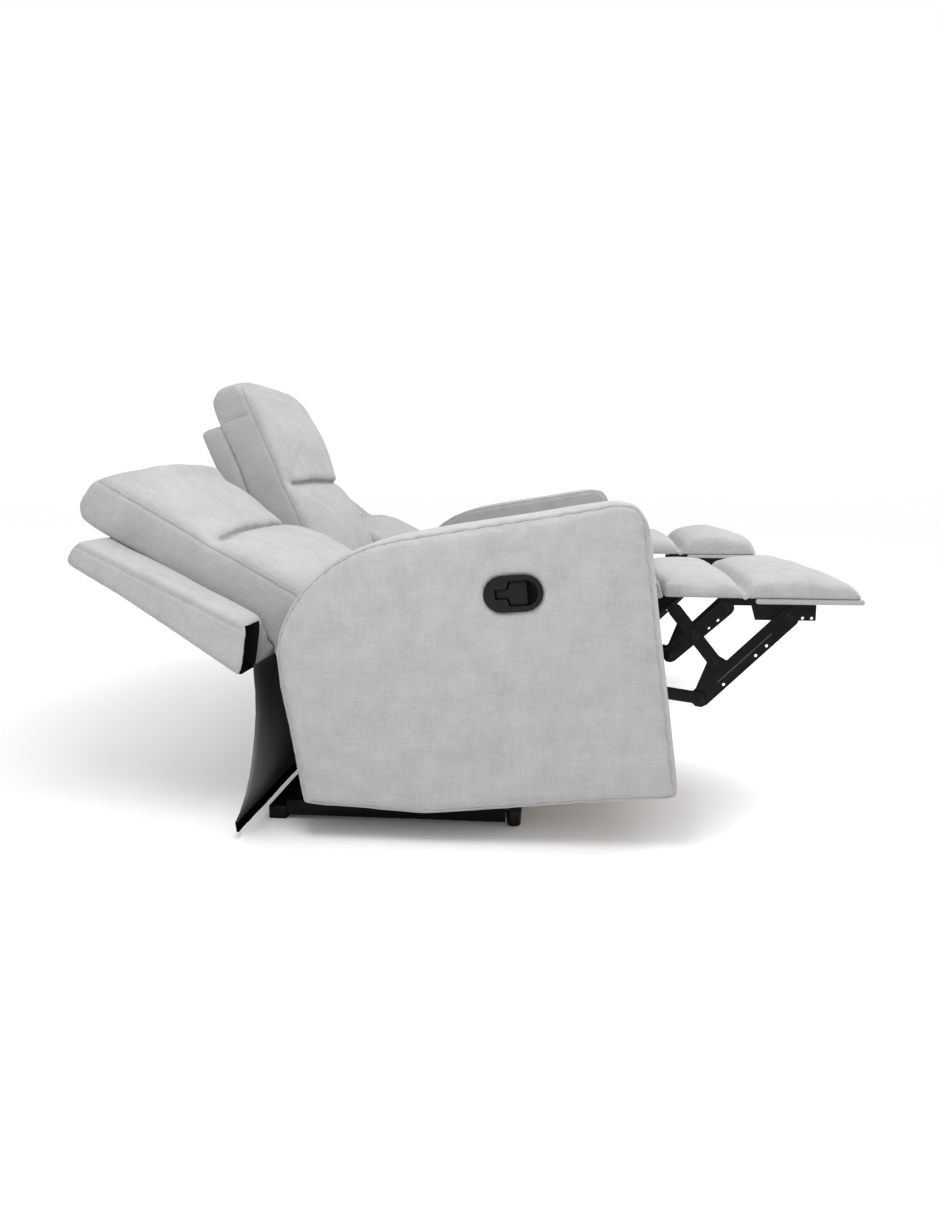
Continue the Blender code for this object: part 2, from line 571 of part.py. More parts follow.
def add_linkage(seat, word, flank, carriage, footrest):
    """Side plate, scissor links and footrest bracket of one flank of an end seat."""
    front_top, front_foot = pivot_place(FRONT_LINK_TOP), pivot_place(FRONT_LINK_FOOT)
    ear, cross_top = pivot_place(FRONT_LINK_EAR), pivot_place(CROSS_LINK_TOP)
    rear_top, rear_foot = pivot_place(REAR_LINK_TOP), pivot_place(REAR_LINK_FOOT)
    lower_pivot = pivot_place(LOWER_LINK_PIVOT)
    crossing = meeting(rear_top, rear_foot, cross_top, ear)
    name = f"{seat}_{word}"

    boss = 1.7 * HINGE_RADIUS
    top = SEAT_BOTTOM - LINK_THICKNESS
    outline = [(SHOE_FRONT, SHOE_BOTTOM), (SHOE_REAR, SHOE_BOTTOM), (SHOE_REAR, SHOE_BOTTOM + SHOE_HEIGHT)]
    outline += arc((HINGE_Y, HINGE_HEIGHT), boss, -60, 90, 5)
    outline += [(SEAT_DEPTH - 2 * boss, top), (SEAT_BOX_SETBACK, top), (SEAT_BOX_SETBACK, top - 2 * boss)]
    outline += arc(lower_pivot, LOWER_LINK_WIDTH, 190, 260, 3)
    outline += [(SHOE_FRONT, SHOE_BOTTOM + SHOE_HEIGHT)]
    plate = add_plate(f"{name}_side_plate", outline, *layer(flank, 0), STEEL, carriage)
    shoe_x = sorted((flank * (HALF_SEAT - LINK_GAP - LINK_THICKNESS / 2), flank * (HALF_SEAT - SHOE_WIDTH)))
    shoe_low = (shoe_x[0], SHOE_FRONT + GAP, SHOE_BOTTOM)
    shoe_high = (shoe_x[1], SHOE_REAR - GAP, SHOE_BOTTOM + SHOE_HEIGHT - GAP)
    combine(plate, add_box(f"{name}_shoe", shoe_low, shoe_high, STEEL, carriage), "UNION")

    add_link(f"{name}_lower_link", lower_pivot, link_outline(lower_pivot, front_foot, LOWER_LINK_WIDTH),
             flank, 1, carriage)
    holes = edge_holes(front_top, front_foot, FRONT_LINK_WIDTH, (0.30, 0.42, 0.78))
    add_link(f"{name}_front_link", front_top, front_link_outline(front_top, front_foot, ear),
             flank, 2, footrest, holes)
    holes = edge_holes(rear_top, rear_foot, REAR_LINK_WIDTH, (0.20, 0.36))
    add_link(f"{name}_rear_link", rear_top, link_outline(rear_top, rear_foot, REAR_LINK_WIDTH),
             flank, 2, footrest, holes)
    add_link(f"{name}_cross_link", crossing, link_outline(cross_top, ear, CROSS_LINK_WIDTH), flank, 1, footrest)

    bracket_top = BOARD_BOTTOM - GAP
    bracket_rear = -(FOOTREST_LENGTH - BOARD_LENGTH)
    bracket_front = bracket_rear - BRACKET_LENGTH
    arm_top = PAD_BOTTOM - GAP
    arm_low = arm_top - BRACKET_ARM_DEPTH
    outline = [(bracket_front, bracket_top - BRACKET_DEPTH), (bracket_rear, bracket_top - BRACKET_DEPTH)]
    outline += [(bracket_rear + 2 * LINK_THICKNESS, arm_low), (rear_top[0] - 1.2 * BRACKET_LUG, arm_low)]
    outline += arc(rear_top, BRACKET_LUG, 200, 360, 5) + [(rear_top[0] + BRACKET_LUG, arm_top)]
    outline += [(bracket_rear + GAP, arm_top), (bracket_rear + GAP, bracket_top), (bracket_front, bracket_top)]
    hole_row = [(bracket_front + step, bracket_top - 0.85 * BRACKET_DEPTH) for step in (0.008, 0.026, 0.042)]
    holes = [circle(centre, LINK_HOLE_RADIUS, 6) for centre in hole_row]
    local = [(y, z - FOLD_HEIGHT) for y, z in outline]
    local_holes = [[(y, z - FOLD_HEIGHT) for y, z in ring] for ring in holes]
    bracket_x = layer(flank, 3)
    bracket = add_plate(f"{name}_footrest_bracket", local, *bracket_x, STEEL, footrest, local_holes)
    inner_edge = flank * min(abs(bracket_x[0]), abs(bracket_x[1]))
    flange_x = sorted((inner_edge + flank * LINK_THICKNESS / 2, inner_edge - flank * BRACKET_FLANGE))
    flange_low = (flange_x[0], bracket_front + GAP, bracket_top - LINK_THICKNESS - FOLD_HEIGHT)
    flange_high = (flange_x[1], bracket_rear - GAP, bracket_top - FOLD_HEIGHT)
    combine(bracket, add_box(f"{name}_flange", flange_low, flange_high, STEEL, footrest), "UNION")


def add_end_seat(seat, side, sofa):
    """One reclining end seat: side is -1 for the sitter's right and 1 for the left."""
    carriage = add_empty(f"{seat}_carriage", (side * SEAT_PITCH, 0.0, 0.0), 0.0, sofa)
    rings = [seat_ring(x, share) for x, share in stations(HALF_CUSHION)]
    add_loft(f"{seat}_seat_cushion", rings, FABRIC, carriage)

    wide = HALF_SEAT - LINK_GAP - LINK_THICKNESS - GAP
    narrow = HALF_SEAT - 4 * (LINK_THICKNESS + LINK_GAP) - BRACKET_FLANGE
    plan = [(-narrow, SEAT_BOX_SETBACK), (narrow, SEAT_BOX_SETBACK), (narrow, SEAT_BOX_SHOULDER),
            (wide, SEAT_BOX_SHOULDER), (wide, SEAT_DEPTH), (-wide, SEAT_DEPTH),
            (-wide, SEAT_BOX_SHOULDER), (-narrow, SEAT_BOX_SHOULDER)]
    box_top = SEAT_BOTTOM - GAP
    rings = [[(x, y, z) for x, y in plan] for z in (box_top - SEAT_BOX_HEIGHT, box_top)]
    add_loft(f"{seat}_seat_box", rings, PLYWOOD, carriage)
    add_arm(seat, side, carriage)

    back = add_empty(f"{seat}_back_axis", (0.0, HINGE_Y, HINGE_HEIGHT), UPRIGHT_ANGLE + RECLINE_ANGLE, carriage)
    tube_half = HALF_SEAT - LINK_GAP - LINK_THICKNESS - GAP
    add_round(f"{seat}_back_hinge_tube", (0.0, 0.0, 0.0), (HINGE_RADIUS, HINGE_RADIUS), 2 * tube_half, True,
              STEEL, back)
    add_back(seat, back, side)

    lean = UPRIGHT_ANGLE + RECLINE_ANGLE
    flap_drop = OUTER_BACK_LOW - FLAP_THICKNESS / 2 - GAP
    flap = add_empty(f"{seat}_flap_axis", (0.0, FLAP_SETBACK, flap_drop), -lean, back)
    ends = (-HALF_CUSHION, HALF_SEAT + ARM_THICKNESS)
    count = 10
    rings = [flap_ring(side * (ends[0] + (ends[1] - ends[0]) * step / count)) for step in range(count + 1)]
    add_loft(f"{seat}_back_flap", rings, LINING, flap)

    footrest = add_empty(f"{seat}_footrest_axis", (0.0, 0.0, FOLD_HEIGHT), 0.0, carriage)
    low = (-HALF_CUSHION, -FOOTREST_LENGTH, BOARD_BOTTOM - FOLD_HEIGHT)
    high = (HALF_CUSHION, BOARD_LENGTH - FOOTREST_LENGTH, BOARD_TOP - FOLD_HEIGHT)
    add_box(f"{seat}_footrest_board", low, high, FABRIC, footrest)
    rings = []
    for x, share in stations(HALF_CUSHION):
        rings.append([(px, py, pz - FOLD_HEIGHT) for px, py, pz in pad_ring(x, share)])
    add_loft(f"{seat}_footrest_pad", rings, FABRIC, footrest)
    for word, flank in (("outer", side), ("inner", -side)):
        add_linkage(seat, word, flank, carriage, footrest)


def add_base(sofa):
    """Four rails on front feet and a rear floor bar, tied by a front bar."""
    nose_bottom = RAIL_TOP - NOSE_THICKNESS
    web_front = BASE_FRONT + 2 * FOOT_RADIUS + GAP
    outline = [(BASE_FRONT, nose_bottom), (web_front, nose_bottom), (web_front, RAIL_BOTTOM),
               (RAIL_END, RAIL_BOTTOM), (RAIL_END, RAIL_TOP), (BASE_FRONT, RAIL_TOP)]
    foot_height = nose_bottom - GAP
    for seat, side in (("right", -1), ("left", 1)):
        for word, flank in (("outer", side), ("inner", -side)):
            edge = side * SEAT_PITCH + flank * (HALF_SEAT - RAIL_INSET)
            x_low, x_high = sorted((edge, edge - flank * RAIL_WIDTH))
            add_plate(f"{seat}_{word}_base_rail", outline, x_low, x_high, STEEL, sofa)
            centre = ((x_low + x_high) / 2, BASE_FRONT + FOOT_RADIUS, foot_height / 2)
            add_round(f"{seat}_{word}_front_foot", centre, (FOOT_RADIUS - FOOT_TAPER, FOOT_RADIUS), foot_height,
                      False, PLASTIC, sofa)
    reach = SEAT_PITCH + HALF_SEAT - RAIL_INSET
    front_low = RAIL_TOP + GAP
    add_box("front_base_bar", (-reach, BASE_FRONT, front_low),
            (reach, BASE_FRONT + FRONT_BAR_DEPTH, front_low + FRONT_BAR_HEIGHT), STEEL, sofa)
    rear = BASE_FRONT + BASE_DEPTH
    add_box("rear_base_bar", (-reach, rear - REAR_BAR_DEPTH, 0.0), (reach, rear, REAR_BAR_HEIGHT), STEEL, sofa)


def add_middle_seat(sofa):
    """The fixed middle seat, standing where the end seats come to when they are closed."""
    seat = add_empty("middle_seat", (0.0, GLIDE_TRAVEL, 0.0), 0.0, sofa)
    rings = [middle_ring(x, share) for x, share in stations(HALF_CUSHION)]
    add_loft("middle_seat_cushion", rings, FABRIC, seat)
    back = add_empty("middle_back_place", (0.0, HINGE_Y, HINGE_HEIGHT), UPRIGHT_ANGLE, seat)
    add_back("middle", back)

    bottom = RAIL_TOP + FRONT_BAR_HEIGHT + 2 * GAP
    heel = REAR_BAR_HEIGHT + GAP
    top = SEAT_BOTTOM - GAP
    rear_bar_front = BASE_FRONT + BASE_DEPTH - REAR_BAR_DEPTH - GLIDE_TRAVEL
    tail = HINGE_Y + MIDDLE_BOX_TAIL
    slope = math.tan(UPRIGHT_ANGLE)
    back_foot = HINGE_HEIGHT + HINGE_RADIUS / math.cos(UPRIGHT_ANGLE)
    shelf_front = HINGE_Y - (top - back_foot) / slope
    outline = [(3 * GAP, bottom), (rear_bar_front, bottom), (rear_bar_front, heel),
               (rear_bar_front + REAR_BAR_DEPTH, heel), (rear_bar_front + REAR_BAR_DEPTH, bottom), (tail, bottom),
               (tail, back_foot - MIDDLE_BOX_TAIL * slope), (shelf_front, top), (3 * GAP, top)]
    add_plate("middle_seat_box", outline, -HALF_CUSHION, HALF_CUSHION, FABRIC, seat)


def reclined_rear():
    """The rearmost Y of a reclined back."""
    lean = UPRIGHT_ANGLE + RECLINE_ANGLE
    reach = [y * math.cos(lean) + z * math.sin(lean) for _, y, z in back_ring(0.0, crown_share(HALF_CUSHION))]
    return HINGE_Y + max(reach)


def main():
    middle_y = (reclined_rear() - FOOTREST_LENGTH) / 2
    sofa = add_empty("sofa", (0.0, -middle_y, 0.0))
    add_base(sofa)
    add_middle_seat(sofa)
    add_end_seat("right", -1, sofa)
    add_end_seat("left", 1, sofa)


main()
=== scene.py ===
# %% [markdown]
# # A reclining sofa, dressed
# The imported CAD model is the frame: every piece below is made in its coordinates, and all but the flaps
# and deck strips ride on one of its bodies. Steel and plastic keep the shape of their solids and get softer
# edges. Everything upholstered is made again with stuffing, seams and folds.

# %% Load the frame
import json
import math

import bmesh
import bpy
from mathutils import Matrix, Vector, kdtree, noise
from mathutils.bvhtree import BVHTree


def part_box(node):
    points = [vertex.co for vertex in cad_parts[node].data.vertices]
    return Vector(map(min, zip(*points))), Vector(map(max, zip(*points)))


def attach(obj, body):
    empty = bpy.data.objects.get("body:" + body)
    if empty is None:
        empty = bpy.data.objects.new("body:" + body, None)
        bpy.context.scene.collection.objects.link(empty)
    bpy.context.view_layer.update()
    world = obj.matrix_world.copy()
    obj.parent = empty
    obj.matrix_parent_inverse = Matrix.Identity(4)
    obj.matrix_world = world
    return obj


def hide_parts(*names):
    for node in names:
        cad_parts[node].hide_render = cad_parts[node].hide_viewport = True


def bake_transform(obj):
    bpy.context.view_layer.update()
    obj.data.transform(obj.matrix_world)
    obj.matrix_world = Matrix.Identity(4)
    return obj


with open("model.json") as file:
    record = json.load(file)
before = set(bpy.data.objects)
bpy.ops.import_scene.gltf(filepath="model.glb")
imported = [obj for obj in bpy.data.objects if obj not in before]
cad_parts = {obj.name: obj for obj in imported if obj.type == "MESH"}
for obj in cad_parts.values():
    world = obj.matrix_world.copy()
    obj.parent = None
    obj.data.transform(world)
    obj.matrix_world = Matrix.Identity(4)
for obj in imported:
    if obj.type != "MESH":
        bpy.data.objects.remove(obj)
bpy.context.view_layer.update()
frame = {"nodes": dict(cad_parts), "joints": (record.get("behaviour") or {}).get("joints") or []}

scene = bpy.context.scene
joints = {joint["name"]: joint for joint in frame["joints"]}

# %% [markdown]
# ## Places
# The joints of the frame say where the backs and footrests turn, so the dressing takes its places from
# them. A back is easiest to shape in its own frame: y runs to its rear and z up along it, from its hinge.

# %% Places from the frame
SEAT_PITCH = 0.56
GLIDE = joints["right_seat_glide"]["range_m"][1]
RECLINED = math.radians(56.5)
UPRIGHT = math.radians(19.0)
HINGE = Vector(joints["right_back_recline"]["pos_m"])
FOLD = Vector(joints["right_footrest_fold"]["pos_m"])
HALF_CUSHION = 0.274
CHANNEL_HEIGHT = 0.336
PAD_CHANNEL = 0.161

right_back_frame = Matrix.Translation(HINGE) @ Matrix.Rotation(-RECLINED, 4, "X")
middle_hinge = Vector((0.0, HINGE.y + GLIDE, HINGE.z))
middle_back_frame = Matrix.Translation(middle_hinge) @ Matrix.Rotation(-UPRIGHT, 4, "X")
left_back_frame = Matrix.Translation((-HINGE.x, HINGE.y, HINGE.z)) @ Matrix.Rotation(-RECLINED, 4, "X")
mirror_x = Matrix.Diagonal((-1.0, 1.0, 1.0, 1.0))
print("back hinge", tuple(round(c, 3) for c in HINGE), "fold line", tuple(round(c, 3) for c in FOLD))

# %% [markdown]
# ## Camera
# The photo is taken from the sitter's right end, a little above the arm. A wide lens close by gives the
# strong convergence of the base bars. The camera was fitted to the photo's vanishing point and floor.

# %% Camera
camera_data = bpy.data.cameras.new("camera")
camera_data.lens = 27.91
camera_data.sensor_width = 36.0
camera = bpy.data.objects.new("camera", camera_data)
scene.collection.objects.link(camera)
turn, dip = math.radians(5.824), math.radians(7.887)
forward = Vector((math.cos(dip) * math.cos(turn), math.cos(dip) * math.sin(turn), -math.sin(dip)))
rightward = Vector((math.sin(turn), -math.cos(turn), 0.0))
upward = rightward.cross(forward)
camera.matrix_world = Matrix.Translation((-2.79, FOLD.y + 0.205, 0.7534)) @ Matrix(
    (rightward, upward, -forward)).transposed().to_4x4()
scene.camera = camera
print("camera at", tuple(round(c, 3) for c in camera.matrix_world.translation))

# %% [markdown]
# ## Colour and node helpers
# Colours are written as they look on a screen and turned to linear light in one place. One small function
# adds a shader node with its settings and links.

# %% Helpers for materials


def linear(hex_color):
    """Linear RGBA of an sRGB hex colour."""
    channels = [int(hex_color[i:i + 2], 16) / 255 for i in (1, 3, 5)]
    return [c / 12.92 if c <= 0.04045 else ((c + 0.055) / 1.055) ** 2.4 for c in channels] + [1.0]


def add_node(tree, kind, settings=(), links=()):
    """A node with its settings; links join its inputs to (node, output) pairs."""
    node = tree.nodes.new(kind)
    for name, value in dict(settings).items():
        if isinstance(name, int) or name in node.inputs:
            node.inputs[name].default_value = value
        else:
            setattr(node, name, value)
    for name, (source, output) in dict(links).items():
        tree.links.new(source.outputs[output], node.inputs[name])
    return node


def start_material(name, settings):
    """A material with a Principled shader, and its node tree and shader."""
    material = bpy.data.materials.new(name)
    material.use_nodes = True
    tree = material.node_tree
    shader = tree.nodes["Principled BSDF"]
    for socket, value in settings.items():
        shader.inputs[socket].default_value = value
    return material, tree, shader


# %% [markdown]
# ## Upholstery cloth
# The cover is a pale grey polyester chenille: soft, matt, with thin brushed threads that run mostly one way
# and a cloudy nap where the pile lies differently. Real threads are about 1 mm apart, too fine to show
# here, so the drawn slubs are about 4 mm wide and 30 mm long. Each back has its own copy, because its
# threads lean with it.

# %% Chenille


def chenille(name, lean, light="#a7a5a6", dark="#939192"):
    """Brushed woven cloth whose threads run along the piece; lean turns them with a reclined back."""
    material, tree, shader = start_material(name, {
        "Roughness": 0.95, "Sheen Weight": 0.12, "Sheen Roughness": 0.5, "Specular IOR Level": 0.12})
    place = add_node(tree, "ShaderNodeTexCoord")
    turned = add_node(tree, "ShaderNodeMapping", {"Rotation": (lean, 0.0, 0.0)},
                      {"Vector": (place, "Object")})
    slub_place = add_node(tree, "ShaderNodeMapping", {"Scale": (0.5, 0.12, 1.0)},
                          {"Vector": (turned, "Vector")})
    slub = add_node(tree, "ShaderNodeTexNoise", {"Scale": 1 / 0.004, "Detail": 2.0},
                    {"Vector": (slub_place, "Vector")})
    cross_place = add_node(tree, "ShaderNodeMapping", {"Scale": (0.2, 1.0, 0.2)},
                           {"Vector": (turned, "Vector")})
    cross = add_node(tree, "ShaderNodeTexNoise", {"Scale": 1 / 0.005, "Detail": 2.0},
                     {"Vector": (cross_place, "Vector")})
    pile = add_node(tree, "ShaderNodeTexNoise", {"Scale": 1 / 0.0035, "Detail": 3.0},
                    {"Vector": (turned, "Vector")})
    nap = add_node(tree, "ShaderNodeTexNoise", {"Scale": 1 / 0.06, "Detail": 5.0, "Roughness": 0.62},
                   {"Vector": (turned, "Vector")})
    threads = add_node(tree, "ShaderNodeMath", {"operation": "ADD"}, {0: (slub, "Fac"), 1: (cross, "Fac")})
    weave = add_node(tree, "ShaderNodeMath", {"operation": "ADD"}, {0: (threads, 0), 1: (pile, "Fac")})
    cloud = add_node(tree, "ShaderNodeMath", {"operation": "MULTIPLY_ADD", 1: 2.2},
                     {0: (nap, "Fac"), 2: (weave, 0)})
    shade = add_node(tree, "ShaderNodeMapRange", {"From Min": 1.7, "From Max": 3.5}, {"Value": (cloud, 0)})
    color = add_node(tree, "ShaderNodeMix", {"data_type": "RGBA"}, {"Factor": (shade, "Result")})
    color.inputs[6].default_value = linear(dark)
    color.inputs[7].default_value = linear(light)
    bump = add_node(tree, "ShaderNodeBump", {"Strength": 0.3, "Distance": 0.0010}, {"Height": (weave, 0)})
    tree.links.new(color.outputs[2], shader.inputs["Base Color"])
    tree.links.new(bump.outputs["Normal"], shader.inputs["Normal"])
    return material


cloth_level = chenille("polyester_chenille", 0.0)
cloth_reclined = chenille("polyester_chenille_reclined", RECLINED - math.pi / 2)
cloth_upright = chenille("polyester_chenille_upright", UPRIGHT - math.pi / 2)
# A darker cloth for the seam ropes: painted shade in the seam creases.
seam_shade = chenille("chenille_painted_crease_shade", 0.0, "#5e5c5d", "#525051")
print("cloth:", cloth_level.name, cloth_reclined.name, cloth_upright.name)

# %% [markdown]
# ## Dark finishes
# The mechanism is stamped steel with a satin black powder coat, which has a faint orange-peel grain. The
# handle is moulded ABS with a fine leather-like texture. Inside the back the cloth is lined with black
# spun-bonded felt, and the flap ends in a black woven tape. The seat boxes are bare poplar plywood.

# %% Dark finishes and plywood


def grained(name, settings, color, other, grain, strength):
    """A plain finish with a fine grain: grain is its size in metres."""
    material, tree, shader = start_material(name, settings)
    place = add_node(tree, "ShaderNodeTexCoord")
    speck = add_node(tree, "ShaderNodeTexNoise", {"Scale": 1 / grain, "Detail": 3.0},
                     {"Vector": (place, "Object")})
    tone = add_node(tree, "ShaderNodeMix", {"data_type": "RGBA"}, {"Factor": (speck, "Fac")})
    tone.inputs[6].default_value = linear(color)
    tone.inputs[7].default_value = linear(other)
    bump = add_node(tree, "ShaderNodeBump", {"Strength": strength, "Distance": 0.0004},
                    {"Height": (speck, "Fac")})
    tree.links.new(tone.outputs[2], shader.inputs["Base Color"])
    tree.links.new(bump.outputs["Normal"], shader.inputs["Normal"])
    return material


black_steel = grained("powder_coated_steel", {"Roughness": 0.42, "Specular IOR Level": 0.14},
                      "#030304", "#060607", 0.0025, 0.12)
rivet_steel = grained("blackened_rivet_steel", {"Roughness": 0.40, "Specular IOR Level": 0.16},
                      "#040405", "#080809", 0.002, 0.08)
# The ribs' lighter steel colour is a painted highlight along the rib; the real steel is black.
rib_highlight_steel = grained("rib_highlight_steel", {"Roughness": 0.35, "Specular IOR Level": 0.5},
                     "#262628", "#323234", 0.002, 0.08)
black_plastic = grained("moulded_abs", {"Roughness": 0.45, "Specular IOR Level": 0.2},
                        "#08080a", "#0f0f10", 0.0018, 0.2)
black_felt = grained("spunbond_felt", {"Roughness": 1.0, "Specular IOR Level": 0.1},
                     "#0b0b0c", "#161617", 0.004, 0.5)
hem_tape = grained("woven_tape", {"Roughness": 0.9, "Specular IOR Level": 0.0},
                   "#040405", "#08080a", 0.003, 0.4)
plywood = grained("poplar_plywood", {"Roughness": 0.75}, "#b59468", "#c9a97c", 0.02, 0.2)


def lining_with_painted_light(name, hem, top):
    """Dark sateen lining with painted light: its colour is lighter over the lower part of the flap, between
    two heights, and towards the sofa's outer end.
    """
    material, tree, shader = start_material(name, {"Roughness": 0.9, "Specular IOR Level": 0.05})
    place = add_node(tree, "ShaderNodeTexCoord")
    height = add_node(tree, "ShaderNodeSeparateXYZ", (), {"Vector": (place, "Object")})
    rise = add_node(tree, "ShaderNodeMapRange",
                    {"interpolation_type": "SMOOTHSTEP", "From Min": hem + 0.02, "From Max": hem + 0.09},
                    {"Value": (height, "Z")})
    fall = add_node(tree, "ShaderNodeMapRange",
                    {"interpolation_type": "SMOOTHSTEP", "From Min": top, "From Max": hem + 0.10},
                    {"Value": (height, "Z")})
    aside = add_node(tree, "ShaderNodeMath", {"operation": "ABSOLUTE"}, {0: (height, "X")})
    open_end_light = add_node(tree, "ShaderNodeMapRange",
                        {"interpolation_type": "SMOOTHSTEP", "From Min": 0.62, "From Max": 0.96},
                        {"Value": (aside, 0)})
    # Painted light: the lining is lighter on its lower band and towards the open outer end.
    lower_band_light = add_node(tree, "ShaderNodeMath", {"operation": "MULTIPLY"},
                    {0: (rise, "Result"), 1: (fall, "Result")})
    painted_light_mask = add_node(tree, "ShaderNodeMath", {"operation": "MULTIPLY"},
                     {0: (lower_band_light, 0), 1: (open_end_light, "Result")})
    # The lighter colour is painted light, not a colour of the lining.
    tone = add_node(tree, "ShaderNodeMix", {"data_type": "RGBA"}, {"Factor": (painted_light_mask, 0)})
    tone.inputs[6].default_value = linear("#2b2b2d")
    tone.inputs[7].default_value = linear("#666669")
    tree.links.new(tone.outputs[2], shader.inputs["Base Color"])
    return material


flap_low, flap_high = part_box("right_back_flap")
lining = lining_with_painted_light("lining_sateen_painted_light", flap_low.z, flap_high.z)
print("dark finishes:", black_steel.name, black_plastic.name, black_felt.name, lining.name, hem_tape.name)

# %% [markdown]
# ## Making pieces
# A copy of a CAD node starts as loose triangles, so it is merged first. Its place is already in its
# vertices, and a finished piece keeps its object at the origin.

# %% Helpers for pieces


def node_copy(node):
    """A merged copy of a CAD node's mesh."""
    bm = bmesh.new()
    bm.from_mesh(frame["nodes"][node].data)
    bmesh.ops.remove_doubles(bm, verts=bm.verts, dist=1e-5)
    return bm


def make_object(name, bm, material, crease=40.0):
    """An object at the origin from a finished bmesh."""
    mesh = bpy.data.meshes.new(name)
    bm.to_mesh(mesh)
    bm.free()
    mesh.materials.clear()
    mesh.materials.append(material)
    mesh.shade_smooth()
    mesh.set_sharp_from_angle(angle=math.radians(crease))
    piece = bpy.data.objects.new(name, mesh)
    scene.collection.objects.link(piece)
    return piece


def bake(piece):
    """Write a piece's modifiers into its mesh."""
    depsgraph = bpy.context.evaluated_depsgraph_get()
    mesh = bpy.data.meshes.new_from_object(piece.evaluated_get(depsgraph))
    piece.modifiers.clear()
    piece.data = mesh
    return piece


def twin(piece, name, matrix, material=None):
    """A copy of a finished piece in another place; a mirrored one has its faces turned back out."""
    mesh = piece.data.copy()
    mesh.transform(matrix)
    if matrix.determinant() < 0:
        mesh.flip_normals()
    if material:
        mesh.materials[0] = material
    copy = bpy.data.objects.new(name, mesh)
    scene.collection.objects.link(copy)
    return copy


# %% [markdown]
# ## Stuffing and surfaces
# A stuffed cover is a closed form that is blown up a little. Cloth simulation with inner pressure does
# that, with the sewn points held. The push is capped, so a cover can't balloon. An even grid of small faces
# comes first, because the long triangles of a CAD solid would fold badly.

# %% Helpers for stuffing and surfaces


def settle(piece, pressure, cap, held=lambda place: False, frames=20):
    """Blow a closed cover up with cloth simulation; held points are sewn down or rest on something."""
    mesh = piece.data
    start = [vertex.co.copy() for vertex in mesh.vertices]
    group = piece.vertex_groups.new(name="held")
    group.add([vertex.index for vertex in mesh.vertices if held(vertex.co)], 1.0, "REPLACE")
    modifier = piece.modifiers.new("stuffing", "CLOTH")
    modifier.settings.quality = 4
    modifier.settings.mass = 0.3
    modifier.settings.tension_stiffness = 12.0
    modifier.settings.compression_stiffness = 8.0
    modifier.settings.shear_stiffness = 4.0
    modifier.settings.bending_stiffness = 2.0
    modifier.settings.vertex_group_mass = "held"
    modifier.settings.use_pressure = True
    modifier.settings.uniform_pressure_force = pressure
    modifier.settings.effector_weights.gravity = 0.0
    modifier.point_cache.frame_start = 1
    modifier.point_cache.frame_end = frames
    for step in range(1, frames + 1):
        scene.frame_set(step)
    depsgraph = bpy.context.evaluated_depsgraph_get()
    blown = piece.evaluated_get(depsgraph).to_mesh()
    ends = [vertex.co.copy() for vertex in blown.vertices]
    piece.modifiers.clear()
    piece.vertex_groups.clear()
    scene.frame_set(1)
    for vertex, first, last in zip(mesh.vertices, start, ends):
        push = last - first
        reach = push.length
        if reach > 1e-9:
            vertex.co = first + push * (cap * math.tanh(reach / cap) / reach)
    return max((last - first).length for first, last in zip(start, ends))


def remeshed(name, bm, material, voxel):
    """An even grid of small faces over a closed form."""
    piece = make_object(name, bm, material, 180.0)
    remesh = piece.modifiers.new("grid", "REMESH")
    remesh.mode = "VOXEL"
    remesh.voxel_size = voxel
    bake(piece)
    piece.data.materials.clear()
    piece.data.materials.append(material)
    return piece


def soften(piece, times, factor=0.5):
    """Relax the surface."""
    bm = bmesh.new()
    bm.from_mesh(piece.data)
    for _ in range(times):
        bmesh.ops.smooth_vert(bm, verts=bm.verts, factor=factor,
                              use_axis_x=True, use_axis_y=True, use_axis_z=True)
    bm.to_mesh(piece.data)
    bm.free()


def refine(piece):
    """One subdivision, written into the mesh."""
    modifier = piece.modifiers.new("finer", "SUBSURF")
    modifier.levels = 1
    modifier.render_levels = 1
    bake(piece)
    piece.data.shade_smooth()


def shape(piece, move):
    """Move each point by what move(place, normal) returns."""
    normals = [vertex.normal.copy() for vertex in piece.data.vertices]
    for vertex, normal in zip(piece.data.vertices, normals):
        vertex.co += move(vertex.co, normal)
    piece.data.update()


def ease(t):
    """A smooth step from 0 to 1."""
    t = max(0.0, min(1.0, t))
    return t * t * (3 - 2 * t)


def ripple(place, size, seed):
    """A smooth wander between about -1 and 1 with waves of the given size."""
    return noise.noise(place / size + Vector((seed, 2.3 * seed, 0.7 * seed)))


# %% [markdown]
# ## Seams
# On a real cover a seam is a line that is drawn in, with a ridge of folded cloth beside it. A path is
# dropped onto the finished surface, the surface is pulled in along it, and two thin ropes are laid there:
# the ridge, and a dark rope of painted shade in the crease. Curves with a round bevel make ropes simply,
# and they are turned into a mesh at once.

# %% Helpers for seams


def along_path(points, step):
    """The points of a path at even steps."""
    out, left = [points[0].copy()], 0.0
    for first, second in zip(points, points[1:]):
        length = (second - first).length
        reach = step - left
        while reach <= length:
            out.append(first.lerp(second, reach / length))
            reach += step
        left = length - (reach - step)
    return out


def even(points, times=3):
    """Smooth a row of points and keep its ends."""
    for _ in range(times):
        inner = [(a + 2 * b + c) / 4 for a, b, c in zip(points, points[1:], points[2:])]
        points = points[:1] + inner + points[-1:]
    return points


def on_surface(piece, points, rise=0.0, aside=0.0):
    """Drop a path onto a piece's surface, evened out, raised a little and moved aside to its left."""
    bm = bmesh.new()
    bm.from_mesh(piece.data)
    tree = BVHTree.FromBMesh(bm)
    bm.free()
    hits = [tree.find_nearest(point) for point in points]
    places = even([hit[0] for hit in hits])
    normals = even([hit[1] for hit in hits])
    out = []
    for index, (place, normal) in enumerate(zip(places, normals)):
        heading = places[min(index + 1, len(places) - 1)] - places[max(index - 1, 0)]
        out.append(place + normal * rise + normal.cross(heading).normalized() * aside)
    return out


